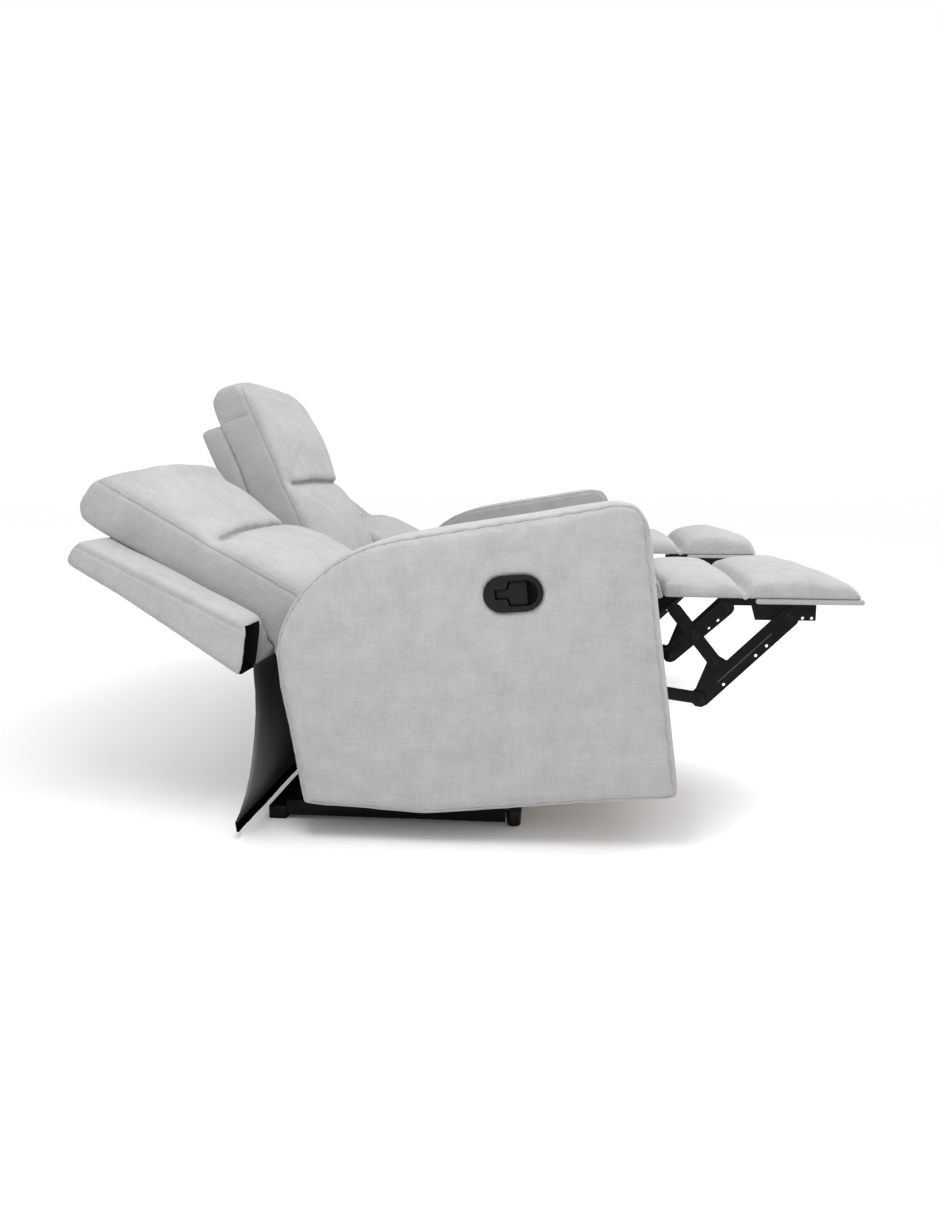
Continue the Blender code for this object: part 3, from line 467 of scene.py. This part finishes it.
def welt(name, piece, path, body, ridge=0.0022, crease=0.0018, aside=-0.0032, closed=False):
    """A seam on a cover: a dark rope of painted shade in its crease, with a rounded ridge of cloth beside it.
    """
    groove(piece, on_surface(piece, path), 0.0030, 0.006)
    curve = bpy.data.curves.new(name, "CURVE")
    curve.dimensions = "3D"
    curve.bevel_depth = ridge
    curve.bevel_resolution = 2
    curve.use_fill_caps = True
    ropes = (on_surface(piece, path, 0.0002, aside), on_surface(piece, path, 0.0005))
    for number, points in enumerate(ropes):
        spline = curve.splines.new("POLY")
        spline.points.add(len(points) - 1)
        for point, place in zip(spline.points, points):
            point.co = (*place, 1.0)
            point.radius = 1.0 if number == 0 else crease / ridge
        spline.use_cyclic_u = closed
        spline.material_index = number
    rope = bpy.data.objects.new(name, curve)
    scene.collection.objects.link(rope)
    curve.materials.append(piece.data.materials[0])
    # The second rope's darker cloth is painted crease shade.
    curve.materials.append(seam_shade)
    mesh = bpy.data.meshes.new_from_object(rope.evaluated_get(bpy.context.evaluated_depsgraph_get()))
    bpy.data.objects.remove(rope)
    mesh.shade_smooth()
    seam = bpy.data.objects.new(name, mesh)
    scene.collection.objects.link(seam)
    return finish_piece(seam, body, "grey_fabric")


def groove(piece, points, depth, width):
    """Draw a surface in along a path, as a seam does."""
    tree = kdtree.KDTree(len(points))
    for index, point in enumerate(points):
        tree.insert(point, index)
    tree.balance()

    def pull(place, normal):
        """Inward, most on the path itself."""
        distance = tree.find(place)[2]
        return -normal * depth * math.exp(-(distance / width) ** 2) if distance < 3 * width else Vector()

    shape(piece, pull)


def finish_piece(piece, body, slot, *nodes):
    """Put a piece on its body in place of its CAD nodes."""
    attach(piece, body)
    if nodes:
        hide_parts(*nodes)
    print(f"{piece.name}: {len(piece.data.polygons)} faces on {body}")
    return piece


# %% [markdown]
# ## Back cushions
# Each back is one stuffed cover with a head roll over a lumbar roll. A welted seam joins the front panel to
# the boxing at the sides and over the top, and a sewn channel between the rolls stops short of the sides,
# where it ends in a pucker. The cover is blown up with the seams held, and the channel is drawn in
# afterwards.

# %% Back cushion, simulated once
VOXEL = 0.008
to_back = right_back_frame.inverted()


def back_edge(height):
    """The seam's distance in front of the hinge line at a height up the back."""
    return 0.040 - 0.044 * height / 0.62


def seam_side(side):
    """The side seam of the back in its own frame, from the seat up to the top corner."""
    points = []
    for step in range(25):
        height = 0.03 + 0.555 * step / 24
        points.append(Vector((side * HALF_CUSHION, -back_edge(height), height)))
    return points + [Vector((side * 0.271, 0.002, 0.603)), Vector((side * 0.262, 0.008, 0.617))]


def seam_top(x):
    """A point of the top seam, which rises with the crown."""
    share = math.sin(math.pi / 2 * min(1.0, (HALF_CUSHION - abs(x)) / 0.17))
    return Vector((x, 0.009 - 0.0104 * share, 0.62 + 0.0245 * share))


back_seam = seam_side(-1) + [seam_top(0.25 * step / 12) for step in range(-12, 13)] + seam_side(1)[::-1]
back_seam = along_path(back_seam, 0.006)
seam_tree = kdtree.KDTree(len(back_seam))
for index, point in enumerate(back_seam):
    seam_tree.insert(point, index)
seam_tree.balance()


def back_held(place):
    """The rear face, the heel and the seams of the back keep their place."""
    local = to_back @ place
    return local.y > 0.07 or local.z < 0.03 or seam_tree.find(local)[2] < 0.007


def across(x):
    """1 over the middle of a cushion, 0 near its sides, where the channel stops."""
    return ease((HALF_CUSHION - 0.024 - abs(x)) / 0.045)


def top_lean(height):
    """The head end of a back leans rearward a little, with the panel behind it."""
    return 0.010 * ease((height - 0.38) / 0.20)


def back_detail(place, normal):
    """The sewn channel with the head roll hanging over it, its puckers, and the fuller top."""
    local = to_back @ place
    x, depth, height = local
    move = Vector()
    if depth < 0.03 and 0.05 < height < 0.66:
        off = height - (CHANNEL_HEIGHT + 0.003 * ripple(Vector((x, 0, 0)), 0.12, 3))
        share = across(x)
        crease = math.exp(-(off / 0.005) ** 2) if off > 0 else math.exp(-(off / 0.012) ** 2)
        lip = math.exp(-((off - 0.022) / 0.018) ** 2)
        move.y += share * 0.012 * crease
        move.z -= share * 0.009 * lip
        move.y -= share * 0.004 * lip
        near = math.exp(-abs(off) / 0.05) * (0.3 + 0.7 * share) * (1 - crease)
        move.y += 0.0016 * near * math.sin(x * math.tau / 0.06 + 4 * ripple(local, 0.09, 5))
        end_gap = abs(abs(x) - (HALF_CUSHION - 0.034))
        move.y += 0.006 * math.exp(-((end_gap / 0.022) ** 2 + (off / 0.012) ** 2))
    move.y += top_lean(height) * ease((depth + 0.02) / 0.06)
    move.y += 0.008 * ease((height - 0.55) / 0.06) * ease((depth - 0.02) / 0.04)
    move.z += ease((height - 0.58) / 0.04) * (
        0.007 * ease((depth - 0.03) / 0.03) - 0.010 * ease((0.02 - depth) / 0.03))
    move.y += 0.0022 * ripple(local, 0.10, 11)
    return right_back_frame.to_3x3() @ move


right_back = remeshed("right_back_cushion_cover", node_copy("right_back_cushion"), cloth_reclined, VOXEL)
soften(right_back, 3)
print("back swelled up to", round(settle(right_back, 3.0, 0.006, back_held), 4), "m before the cap")
soften(right_back, 2)
refine(right_back)
shape(right_back, back_detail)
soften(right_back, 1, 0.3)
print("back cover:", len(right_back.data.polygons), "faces")

# %% [markdown]
# The other two backs are copies: the left one mirrored, the middle one turned upright. Each cover then gets
# its own unevenness, because no two stuffed covers settle alike, and its own welt.

# %% The three backs


def bell(value, middle, width):
    """A bell curve of height 1."""
    return math.exp(-((value - middle) / width) ** 2)


def settled_head(frame_matrix, lumps, edge=0.12):
    """Stuffing that has moved about in the head roll: (height, width, how far forward) of each lump."""
    to_local, turned = frame_matrix.inverted(), frame_matrix.to_3x3()

    def move(place, normal):
        """Forward where a lump lies, less towards the sides."""
        local = to_local @ place
        if local.y > 0.04:
            return Vector()
        share = ease((HALF_CUSHION - abs(local.x)) / edge)
        forward = sum(size * bell(local.z, height, width) for height, width, size in lumps)
        return turned @ Vector((0.0, -forward * share * (1 + 0.3 * ripple(local, 0.2, 2)), 0.0))

    return move


to_middle = middle_back_frame @ right_back_frame.inverted()
left_back = twin(right_back, "left_back_cushion_cover", mirror_x)
middle_back = twin(right_back, "middle_back_cushion_cover", to_middle, cloth_upright)
right_lumps = ((0.553, 0.026, 0.024), (0.470, 0.050, 0.004), (0.605, 0.020, 0.004))
middle_lumps = ((0.550, 0.070, -0.021), (0.420, 0.060, -0.008), (0.628, 0.035, 0.013))
left_lumps = ((0.385, 0.100, -0.036), (0.190, 0.110, -0.012))
shape(right_back, settled_head(right_back_frame, right_lumps))
shape(middle_back, settled_head(middle_back_frame, middle_lumps))
shape(middle_back, lambda place, normal: normal * 0.002 * ripple(place, 0.12, 23))
shape(left_back, settled_head(left_back_frame, left_lumps, 0.06))
shape(left_back, lambda place, normal: normal * 0.002 * ripple(place, 0.12, 41))
left_path = [mirror_x @ right_back_frame @ point for point in reversed(back_seam)]
places = {"right": right_back_frame, "left": mirror_x @ right_back_frame, "middle": middle_back_frame}
for word, cover, path, body in (
        ("right", right_back, [right_back_frame @ point for point in back_seam], "right_back"),
        ("left", left_back, left_path, "left_back"),
        ("middle", middle_back, [middle_back_frame @ point for point in back_seam], "base")):
    finish_piece(cover, body, "grey_fabric", f"{word}_back_cushion")
    welt(f"{word}_back_welt", cover, path, body)
    place = places[word]
    half = 0.12 if word == "left" else 0.225
    channel = [Vector((half * step / 40, -0.022, CHANNEL_HEIGHT - 0.001)) for step in range(-40, 41)]
    # Along each channel lies a thin dark rope of painted shade, thickest on the middle back.
    shade_line_radius = 0.0013 if word == "middle" else 0.0007
    welt(f"{word}_channel_stitch_and_shade", cover, [place @ point for point in channel], body, 0.0007, shade_line_radius, -0.0020)
for side, flank in ((-1, "right"), (1, "left")):
    joint = [middle_back_frame @ Vector((side * HALF_CUSHION, 0.016 + 0.003 * step, 0.548))
             for step in range(24)]
    welt(f"middle_boxing_seam_{flank}", middle_back, joint, "base", 0.0012, 0.0010, 0.0018)

# %% [markdown]
# ## Arms
# An arm is a board box with a thin layer of wadding under the cloth. A flat seam runs round its side
# panels, about 14 mm inside the edge, where the boxing over the rim meets the panel. The edge of the CAD
# solid's flat face is that line, so it is read from there.

# %% Arms


def face_border(faces):
    """The longest closed border of a patch of faces, as a ring of points."""
    patch = set(faces)
    border = {}
    for face in patch:
        for loop in face.loops:
            if not any(other in patch for other in loop.edge.link_faces if other is not face):
                border.setdefault(loop.vert, loop.link_loop_next.vert)
    rings = []
    while border:
        first, vert = border.popitem()
        ring = [first.co.copy()]
        while vert in border:
            ring.append(vert.co.copy())
            vert = border.pop(vert)
        rings.append(ring)
    return max(rings, key=lambda ring: sum((a - b).length for a, b in zip(ring, ring[1:] + ring[:1])))


def arm_cover(side_word, side):
    """One arm's cover with its two panel seams."""
    bm = node_copy(f"{side_word}_arm")
    outer = [face for face in bm.faces
             if face.normal.x * side > 0.99 and face.calc_center_median().x * side > 0.95]
    inner = [face for face in bm.faces
             if face.normal.x * side < -0.99 and face.calc_center_median().x * side < 0.85]
    seams = []
    for faces in (outer, inner):
        ring = face_border(faces)
        seams.append(along_path(ring + ring[:1], 0.006))
    cover = remeshed(f"{side_word}_arm_cover", bm, cloth_level, 0.0065)
    soften(cover, 3)
    return cover, seams


right_arm, arm_seams = arm_cover("right", -1)
HANDLE_Y, HANDLE_Z, HANDLE_REACH = -0.128, 0.527, 0.085
INNER_PANEL_X = -0.87


def arm_held(place):
    """The inner panel and the handle's place keep still."""
    near_handle = math.hypot(place.y - HANDLE_Y, place.z - HANDLE_Z) < HANDLE_REACH
    return place.x > INNER_PANEL_X or near_handle


print("arm swelled up to", round(settle(right_arm, 1.5, 0.004, arm_held, 12), 4), "m before the cap")
shape(right_arm, lambda place, normal: normal * 0.0012 * ripple(place, 0.14, 7))
left_arm = twin(right_arm, "left_arm_cover", mirror_x)
for word, cover in (("right", right_arm), ("left", left_arm)):
    finish_piece(cover, f"{word}_carriage", "grey_fabric", f"{word}_arm")
    for number, path in enumerate(arm_seams):
        line = path[:-1] if word == "right" else [mirror_x @ point for point in reversed(path[:-1])]
        welt(f"{word}_arm_seam_{number + 1}", cover, line, f"{word}_carriage", 0.0018, 0.0013, -0.0025,
             closed=True)

# %% [markdown]
# ## Seats and footrest pads
# The end seats are flat-topped boxed cushions. The footrest pads are two quilted sections that meet in a
# channel, with soft ends that are sewn to the lower edge. They are blown up like the backs.

# %% Seats and pads


def cushion(node, material, cap, pressure, held, detail, voxel=VOXEL):
    """A stuffed cover in the place of a CAD cushion."""
    cover = remeshed(f"{node}_cover", node_copy(node), material, voxel)
    soften(cover, 4)
    print(node, "swelled up to", round(settle(cover, pressure, cap, held), 4), "m before the cap")
    soften(cover, 2)
    refine(cover)
    shape(cover, detail)
    return cover


seat_low, seat_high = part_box("right_seat_cushion")


def seat_held(place):
    """The underside, the rear and the thin front lip of a seat keep still."""
    lip = place.y < seat_low.y + 0.045 and place.z < FOLD.z + 0.012
    return place.z < seat_low.z + 0.02 or place.y > seat_high.y - 0.01 or lip


def seat_detail(place, normal):
    """Soft waves."""
    return normal * 0.0025 * ripple(place, 0.13, 31)


pad_low, pad_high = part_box("right_footrest_pad")
pad_middle_x = (pad_low.x + pad_high.x) / 2


def pad_held(place):
    """The lower edge and the channel of a pad are sewn down."""
    channel = abs(place.y - (FOLD.y - PAD_CHANNEL)) < 0.008
    return place.z < pad_low.z + 0.009 or channel


def pad_detail(place, normal):
    """The channel between the sections with its puckers, a fuller nose and soft waves."""
    off = place.y - (FOLD.y - PAD_CHANNEL)
    x = place.x - pad_middle_x
    rise = ease((place.z - pad_low.z - 0.008) / 0.012)
    move = normal * 0.0016 * ripple(place, 0.11, 17)
    fade = math.exp(-(off / 0.012) ** 2)
    crease = math.exp(-abs(off) / 0.035) * (1 - fade)
    move.z -= rise * 0.017 * fade
    move.z += rise * 0.0018 * crease * math.sin(x * math.tau / 0.06 + 3 * ripple(place, 0.1, 13))
    nose = ease((pad_low.y + 0.075 - place.y) / 0.07)
    move.z += (0.007 * rise * nose - 0.005 * rise * (1 - nose)
               + 0.006 * rise * bell(place.y, pad_low.y + 0.09, 0.06))
    move.y -= 0.006 * nose
    move.y += 0.004 * ease((place.y - pad_high.y + 0.030) / 0.030)
    return move


def far_pad_detail(place, normal):
    """The left pad is stuffed fuller than the right one."""
    rise = ease((place.z - pad_low.z - 0.008) / 0.030)
    off = place.y - (FOLD.y - PAD_CHANNEL)
    swell = 0.011 * (1 - math.exp(-(off / 0.03) ** 2)) + 0.011 * bell(place.y, FOLD.y - 0.32, 0.10)
    return Vector((0.0, -0.008 * ease((pad_low.y + 0.1 - place.y) / 0.1), rise * swell))


right_seat = cushion("right_seat_cushion", cloth_level, 0.012, 3.0, seat_held, seat_detail)
right_pad = cushion("right_footrest_pad", cloth_level, 0.006, 3.0, pad_held, pad_detail, 0.0065)
for word, matrix in (("left", mirror_x), ("right", Matrix())):
    seat = right_seat if word == "right" else twin(right_seat, "left_seat_cushion_cover", matrix)
    pad = right_pad if word == "right" else twin(right_pad, "left_footrest_pad_cover", matrix)
    if word == "left":
        shape(pad, far_pad_detail)
    finish_piece(seat, f"{word}_carriage", "grey_fabric", f"{word}_seat_cushion")
    finish_piece(pad, f"{word}_footrest", "grey_fabric", f"{word}_footrest_pad")

# %% [markdown]
# ## Middle seat
# The middle seat doesn't move. Its cushion runs over the front and hangs down as a panel with one sewn
# channel, in line with the channel of the folded footrests beside it, so it is stuffed as one cover.

# %% Middle seat
middle_low, middle_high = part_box("middle_seat_cushion")


def middle_held(place):
    """The rear and the underside of the middle seat keep still."""
    return place.y > middle_high.y - 0.01 or (place.z < seat_low.z + 0.01 and place.y > middle_low.y + 0.055)


def middle_detail(place, normal):
    """The front panel's channel and soft waves."""
    off = place.z - (FOLD.z - PAD_CHANNEL)
    move = normal * 0.0022 * ripple(place, 0.12, 19)
    if place.y < middle_low.y + 0.05:
        move.y += 0.012 * math.exp(-(off / 0.010) ** 2)
    return move


middle_seat = cushion("middle_seat_cushion", cloth_level, 0.012, 3.0, middle_held, middle_detail)
finish_piece(middle_seat, "base", "grey_fabric", "middle_seat_cushion")

# %% [markdown]
# ## Outer backs
# Behind each cushion is a padded panel with soft edges. On the end seats it reaches behind the arm, and its
# lower end is open and shows black felt. A lined cloth flap hangs from there and hides the mechanism from
# behind.

# %% Outer backs
WING_END = 0.40
WING_RISE, WING_CUT = 0.049, 0.052
FOOT_FRONT = Vector((0.0, 0.0903 - WING_RISE, 0.100 + WING_CUT))
FOOT_REAR = Vector((0.0, 0.1503, 0.100))
RIM = 0.007


def open_foot(cover, frame_matrix, side):
    """Cut the open lower end of a wing: its foot inside the rim goes up into the panel and shows felt."""
    turned = frame_matrix.to_3x3()
    run = (FOOT_REAR - FOOT_FRONT).normalized()
    across_x = Vector((side, 0.0, 0.0))
    cuts = ((FOOT_FRONT + RIM * run, -run), (FOOT_REAR - RIM * run, run),
            (across_x * (HALF_CUSHION + 0.044), -across_x), (across_x * (WING_END - RIM), across_x))
    to_local = frame_matrix.inverted()
    bm = bmesh.new()
    bm.from_mesh(cover.data)
    for place, normal in cuts:
        near = [face for face in bm.faces if (to_local @ face.calc_center_median()).z < 0.19]
        geom = list({item for face in near for item in (face, *face.edges, *face.verts)})
        bmesh.ops.bisect_plane(bm, geom=geom, dist=1e-5, plane_co=frame_matrix @ place,
                               plane_no=turned @ normal)
    outward = Vector((0.0, run.z, -run.y))
    foot = []
    for face in bm.faces:
        local = to_local @ face.calc_center_median()
        inside = all((local - place).dot(normal) < 0.0 for place, normal in cuts)
        level = abs((local - FOOT_FRONT).dot(outward)) < 0.02
        if inside and level and face.normal.dot(turned @ outward) > 0.3:
            foot.append(face)
    made = bmesh.ops.extrude_face_region(bm, geom=foot)["geom"]
    verts = [item for item in made if isinstance(item, bmesh.types.BMVert)]
    bmesh.ops.translate(bm, vec=turned @ Vector((0.0, 0.0, 0.035)), verts=verts)
    bmesh.ops.delete(bm, geom=[face for face in foot if face.is_valid], context="FACES_ONLY")
    cover.data.materials.append(black_felt)
    for face in {face for vert in verts for face in vert.link_faces}:
        face.material_index = 1
    bm.to_mesh(cover.data)
    bm.free()


def outer_back(word, frame_matrix, material, body, wing_side=0):
    """The padded panel behind a back; an end seat's has a wing that is open at its foot."""
    node = f"{word}_outer_back"
    cover = remeshed(f"{node}_cover", node_copy(node), material, 0.008)
    soften(cover, 3)
    refine(cover)
    to_local = frame_matrix.inverted()
    turned = frame_matrix.to_3x3()
    snug = 0.0 if wing_side else 0.006

    def settle_panel(place, normal):
        """Soft waves, a raised top and a snug fit behind the cushion."""
        local = to_local @ place
        move = normal * 0.0015 * ripple(place, 0.10, 29)
        lift = Vector((0.0, top_lean(local.z), 0.010 * ease((local.z - 0.45) / 0.08)))
        behind_cushion = ease((HALF_CUSHION + 0.006 - abs(local.x)) / 0.006) * ease((local.z - 0.15) / 0.03)
        lift.y -= snug * behind_cushion * ease((0.115 - local.y) / 0.015)
        return move + turned @ lift

    shape(cover, settle_panel)
    if wing_side:
        open_foot(cover, frame_matrix, wing_side)
    finish_piece(cover, body, "grey_fabric", node)
    if not wing_side:
        return
    sides = sorted((-wing_side * HALF_CUSHION, wing_side * WING_END))
    path = []
    for step in range(21):
        height = 0.155 + 0.375 * step / 20
        wing = WING_RISE * (0.535 - height) / 0.383 if wing_side < 0 else 0.0
        path.append(Vector((sides[0], 0.107 - wing, height)))
    path += [Vector((sides[0] + (sides[1] - sides[0]) * step / 20, 0.107, 0.548)) for step in range(21)]
    for step in range(21):
        height = 0.53 - 0.375 * step / 20
        wing = WING_RISE * (0.535 - height) / 0.383 if wing_side > 0 else 0.0
        path.append(Vector((sides[1], 0.107 - wing, height)))
    line = [frame_matrix @ point for point in along_path(path, 0.006)]
    welt(f"{word}_outer_back_seam", cover, line, body, 0.0012, 0.0006, 0.0016)


outer_back("right", right_back_frame, cloth_reclined, "right_back", -1)
outer_back("left", left_back_frame, cloth_reclined, "left_back", 1)
outer_back("middle", middle_back_frame, cloth_upright, "base")

# %% [markdown]
# ## Footrest boards and flaps
# A footrest board is plywood wrapped in cloth, so it keeps its block form with rounded edges. A flap is a
# sheet: grey cloth outside, dark lining inside and a stiff taped hem. It starts from the CAD sheet, is cut
# along the hem's line and hung in shallow folds. Its upper edge is sewn to the panel.

# %% Boards and flaps


def soft_block(node, material, body, slot, width, segments=3):
    """A CAD block with rounded edges."""
    bm = node_copy(node)
    bmesh.ops.dissolve_limit(bm, angle_limit=math.radians(1), verts=bm.verts, edges=bm.edges)
    sharp = [edge for edge in bm.edges if edge.calc_face_angle(0.0) > math.radians(30)]
    bmesh.ops.bevel(bm, geom=sharp, offset=width, offset_type="OFFSET", segments=segments, profile=0.5,
                    affect="EDGES", clamp_overlap=True, material=-1)
    return finish_piece(make_object(f"{node}_dressed", bm, material), body, slot, node)


for word in ("right", "left"):
    soft_block(f"{word}_footrest_board", cloth_level, f"{word}_footrest", "grey_fabric", 0.004)
HEM_WIDTH = 0.021
FLAP_FLARE = 0.046


def flap(word, side):
    """The hanging flap: cloth outside, lining inside, tape along the hem."""
    node = f"{word}_back_flap"
    low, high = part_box(node)
    bm = node_copy(node)
    bmesh.ops.subdivide_edges(bm, edges=bm.edges, cuts=2, use_grid_fill=True, smooth=0.0)
    bmesh.ops.bisect_plane(bm, geom=[*bm.verts, *bm.edges, *bm.faces], dist=1e-5,
                           plane_co=(0.0, 0.0, low.z + HEM_WIDTH), plane_no=(0.0, 0.0, 1.0))
    piece = make_object(f"{node}_cloth", bm, cloth_level, 180.0)
    piece.data.materials.append(lining)
    piece.data.materials.append(hem_tape)
    for face in piece.data.polygons:
        if face.center.z < low.z + HEM_WIDTH:
            face.material_index = 2
        elif face.normal.y < 0.1:
            face.material_index = 1

    def hang(place, normal):
        """The sewn edge is drawn forward, and shallow folds die out at the taped hem."""
        drop = (high.z - place.z) / (high.z - low.z)
        drawn = -0.014 * (1 - drop) ** 4 + 0.0025 * (1 - drop) * ripple(place, 0.12, 37)
        straight = -0.004 * drop * math.sin((place.x - side * SEAT_PITCH) * 2 * math.tau / SEAT_PITCH)
        hem_drop = 1 - HEM_WIDTH / (high.z - low.z)
        stiff = FLAP_FLARE * (hem_drop ** 4 - drop ** 4) * 1.2 if drop > hem_drop else 0.0
        return Vector((0.0, drawn + straight + stiff, 0.016 * (1 - drop) ** 8))

    shape(piece, hang)
    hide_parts(node)
    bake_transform(piece)
    print(piece.name, "is sewn to the back and hangs below it")


flap("right", -1)
flap("left", 1)

# %% [markdown]
# Between an end seat and its back a strip of the cover sags like a hammock, so that nothing falls through.
# It is sewn to both.

# %% Deck strips


def deck(word, side):
    """The strip of cloth between a seat and its back."""
    start, low, end = Vector((0.1375, 0.502)), Vector((0.185, 0.425)), Vector((0.262, 0.478))
    bm = bmesh.new()
    bmesh.ops.create_grid(bm, x_segments=24, y_segments=12, size=0.5)
    for vert in bm.verts:
        t = vert.co.y + 0.5
        place = start * (1 - t) ** 2 + low * 2 * t * (1 - t) + end * t ** 2
        vert.co = (side * SEAT_PITCH + vert.co.x * 0.52, place.x, place.y + 0.003 * math.sin(vert.co.x * 40))
    bmesh.ops.solidify(bm, geom=bm.faces, thickness=0.003)
    bmesh.ops.recalc_face_normals(bm, faces=bm.faces)
    piece = make_object(f"{word}_deck_cloth", bm, cloth_level, 180.0)
    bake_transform(piece)
    print(piece.name, "bends between the seat and the back")


deck("right", -1)
deck("left", 1)

# %% [markdown]
# ## Steel and plastic
# Stamped plates and moulded parts never have knife edges. Each CAD solid gets a small round on its edges,
# and the linkage gets domed rivets at its pivots.

# %% Steel and plastic
for word in ("right", "left"):
    for flank in ("outer", "inner"):
        stem = f"{word}_{flank}"
        for kind in ("front", "rear", "cross", "lower"):
            soft_block(f"{stem}_{kind}_link", black_steel, f"{word}_{kind}_links", "black_steel", 0.0008, 2)
        soft_block(f"{stem}_side_plate", black_steel, f"{word}_carriage", "black_steel", 0.0008, 2)
        soft_block(f"{stem}_footrest_bracket", black_steel, f"{word}_footrest", "black_steel", 0.0008, 2)
        soft_block(f"{stem}_base_rail", black_steel, "base", "black_steel", 0.002, 2)
        soft_block(f"{stem}_front_foot", black_plastic, "base", "black_plastic", 0.0015, 2)
    soft_block(f"{word}_back_hinge_tube", black_steel, f"{word}_back", "black_steel", 0.001, 2)
    soft_block(f"{word}_handle_bezel", black_plastic, f"{word}_carriage", "black_plastic", 0.0010, 2)
    soft_block(f"{word}_handle_lever", black_plastic, f"{word}_lever", "black_plastic", 0.0010, 2)
    soft_block(f"{word}_seat_box", plywood, f"{word}_carriage", "plywood", 0.003, 2)
soft_block("front_base_bar", black_steel, "base", "black_steel", 0.002, 2)
soft_block("rear_base_bar", black_steel, "base", "black_steel", 0.002, 2)
soft_block("middle_seat_box", cloth_level, "base", "grey_fabric", 0.006, 3)

# %% [markdown]
# The pivots of the linkage are riveted: a low domed head on the outer plate of each. The front link has a
# rib pressed along it for stiffness, coloured lighter as a painted highlight.

# %% Rivets and ribs
PIVOTS = {"front_top": (0.252, 0.033), "front_foot": (0.0775, 0.206), "ear": (0.103, 0.126),
          "rear_top": (0.1255, 0.016), "rear_foot": (0.0135, 0.117)}
crossing = joints["right_cross_link_pivot"]["pos_m"]
PIVOTS["crossing"] = (FOLD.y - crossing[1], FOLD.z - crossing[2])
HEADS = {"cross_links": (1, (("crossing", 0.0105), ("ear", 0.0070))),
         "lower_links": (1, (("front_foot", 0.0070),)),
         "front_links": (2, (("front_top", 0.0080),)),
         "rear_links": (2, (("rear_top", 0.0070), ("rear_foot", 0.0070)))}
OUTER_LAYER, LAYER_STEP = 0.2795, 0.0045
HEAD_HEIGHT = 0.0022
RIB_DEPTH, RIB_SHARE, RIB_WIDTH = 0.0022, 0.60, 0.0026


def plate_face(side, flank, number):
    """The x of the outward face of one layer of links."""
    return side * SEAT_PITCH + flank * (OUTER_LAYER - LAYER_STEP * number)


def add_head(bm, place, outward, radius, height):
    """A domed rivet head turned about X."""
    profile = ((height, 0.0), (0.94 * height, 0.5 * radius), (0.62 * height, 0.86 * radius),
               (0.0, radius), (0.0, 0.0))
    verts = [bm.verts.new((place[0] + outward * x, place[1], place[2] + r)) for x, r in profile]
    edges = [bm.edges.new(pair) for pair in zip(verts, verts[1:])]
    bmesh.ops.spin(bm, geom=verts + edges, cent=place, axis=(1.0, 0.0, 0.0), angle=math.tau, steps=24,
                   use_merge=True)


for word, side in (("right", -1), ("left", 1)):
    for kind, (number, heads) in HEADS.items():
        bm = bmesh.new()
        for flank in (-1, 1):
            for pivot, radius in heads:
                ahead, below = PIVOTS[pivot]
                place = (plate_face(side, flank, number), FOLD.y - ahead, FOLD.z - below)
                add_head(bm, place, flank, radius, HEAD_HEIGHT)
        bmesh.ops.remove_doubles(bm, verts=bm.verts, dist=1e-6)
        bmesh.ops.recalc_face_normals(bm, faces=bm.faces)
        piece = make_object(f"{word}_{kind}_rivets", bm, rivet_steel, 60.0)
        finish_piece(piece, f"{word}_{kind}", "black_steel")
    bm = bmesh.new()
    top, foot = (Vector((FOLD.y - PIVOTS[name][0], FOLD.z - PIVOTS[name][1]))
                 for name in ("front_top", "front_foot"))
    run = foot - top
    for flank in (-1, 1):
        rib = bmesh.ops.create_cube(bm, size=1.0)["verts"]
        bmesh.ops.scale(bm, vec=(RIB_DEPTH, RIB_SHARE * run.length, RIB_WIDTH), verts=rib)
        rib_edges = list({edge for vert in rib for edge in vert.link_edges})
        made = bmesh.ops.bevel(bm, geom=rib_edges, offset=0.0006, offset_type="OFFSET", segments=2,
                               profile=0.5, affect="EDGES", material=-1)
        rib = list({vert for face in made["faces"] for vert in face.verts})
        slope = Matrix.Rotation(math.atan2(run.y, run.x), 3, "X")
        bmesh.ops.rotate(bm, cent=(0, 0, 0), matrix=slope, verts=rib)
        middle = top.lerp(foot, 0.50)
        bmesh.ops.translate(bm, vec=(plate_face(side, flank, 2), middle.x, middle.y), verts=rib)
    finish_piece(make_object(f"{word}_front_link_ribs", bm, rib_highlight_steel), f"{word}_front_links", "black_steel")

# %% [markdown]
# ## Light and floor
# The photo was taken in even studio light on white, a little stronger from above. A white sky gives the
# even part. A large soft lamp above the front lights the pads and backs, and a small one above the near arm
# leaves the arm's foot a little darker than its top.

# %% Light and floor
floor_mesh = bmesh.new()
bmesh.ops.create_grid(floor_mesh, x_segments=1, y_segments=1, size=30.0)
floor_white, _, _ = start_material("pale_floor", {"Base Color": linear("#fdfdfd"), "Roughness": 0.9})
floor = make_object("floor", floor_mesh, floor_white)

world = bpy.data.worlds.new("studio")
scene.world = world
world.use_nodes = True
world.node_tree.nodes["Background"].inputs["Color"].default_value = (1.0, 1.0, 1.0, 1.0)
world.node_tree.nodes["Background"].inputs["Strength"].default_value = 1.01


def soft_light(name, place, aim, size, power):
    """A square lamp that looks at a point."""
    data = bpy.data.lights.new(name, "AREA")
    data.size = size
    data.energy = power
    lamp = bpy.data.objects.new(name, data)
    scene.collection.objects.link(lamp)
    direction = Vector(aim) - Vector(place)
    lamp.matrix_world = Matrix.Translation(place) @ direction.to_track_quat("-Z", "Y").to_matrix().to_4x4()


soft_light("top_light", (0.1, -1.6, 2.6), (0.0, -0.3, 0.4), 2.0, 55.0)
soft_light("near_light", (-1.6, 0.12, 1.6), (-0.95, 0.15, 0.6), 0.6, 12.0)
scene.view_settings.view_transform = "Standard"
print("light: white sky and two lamps")
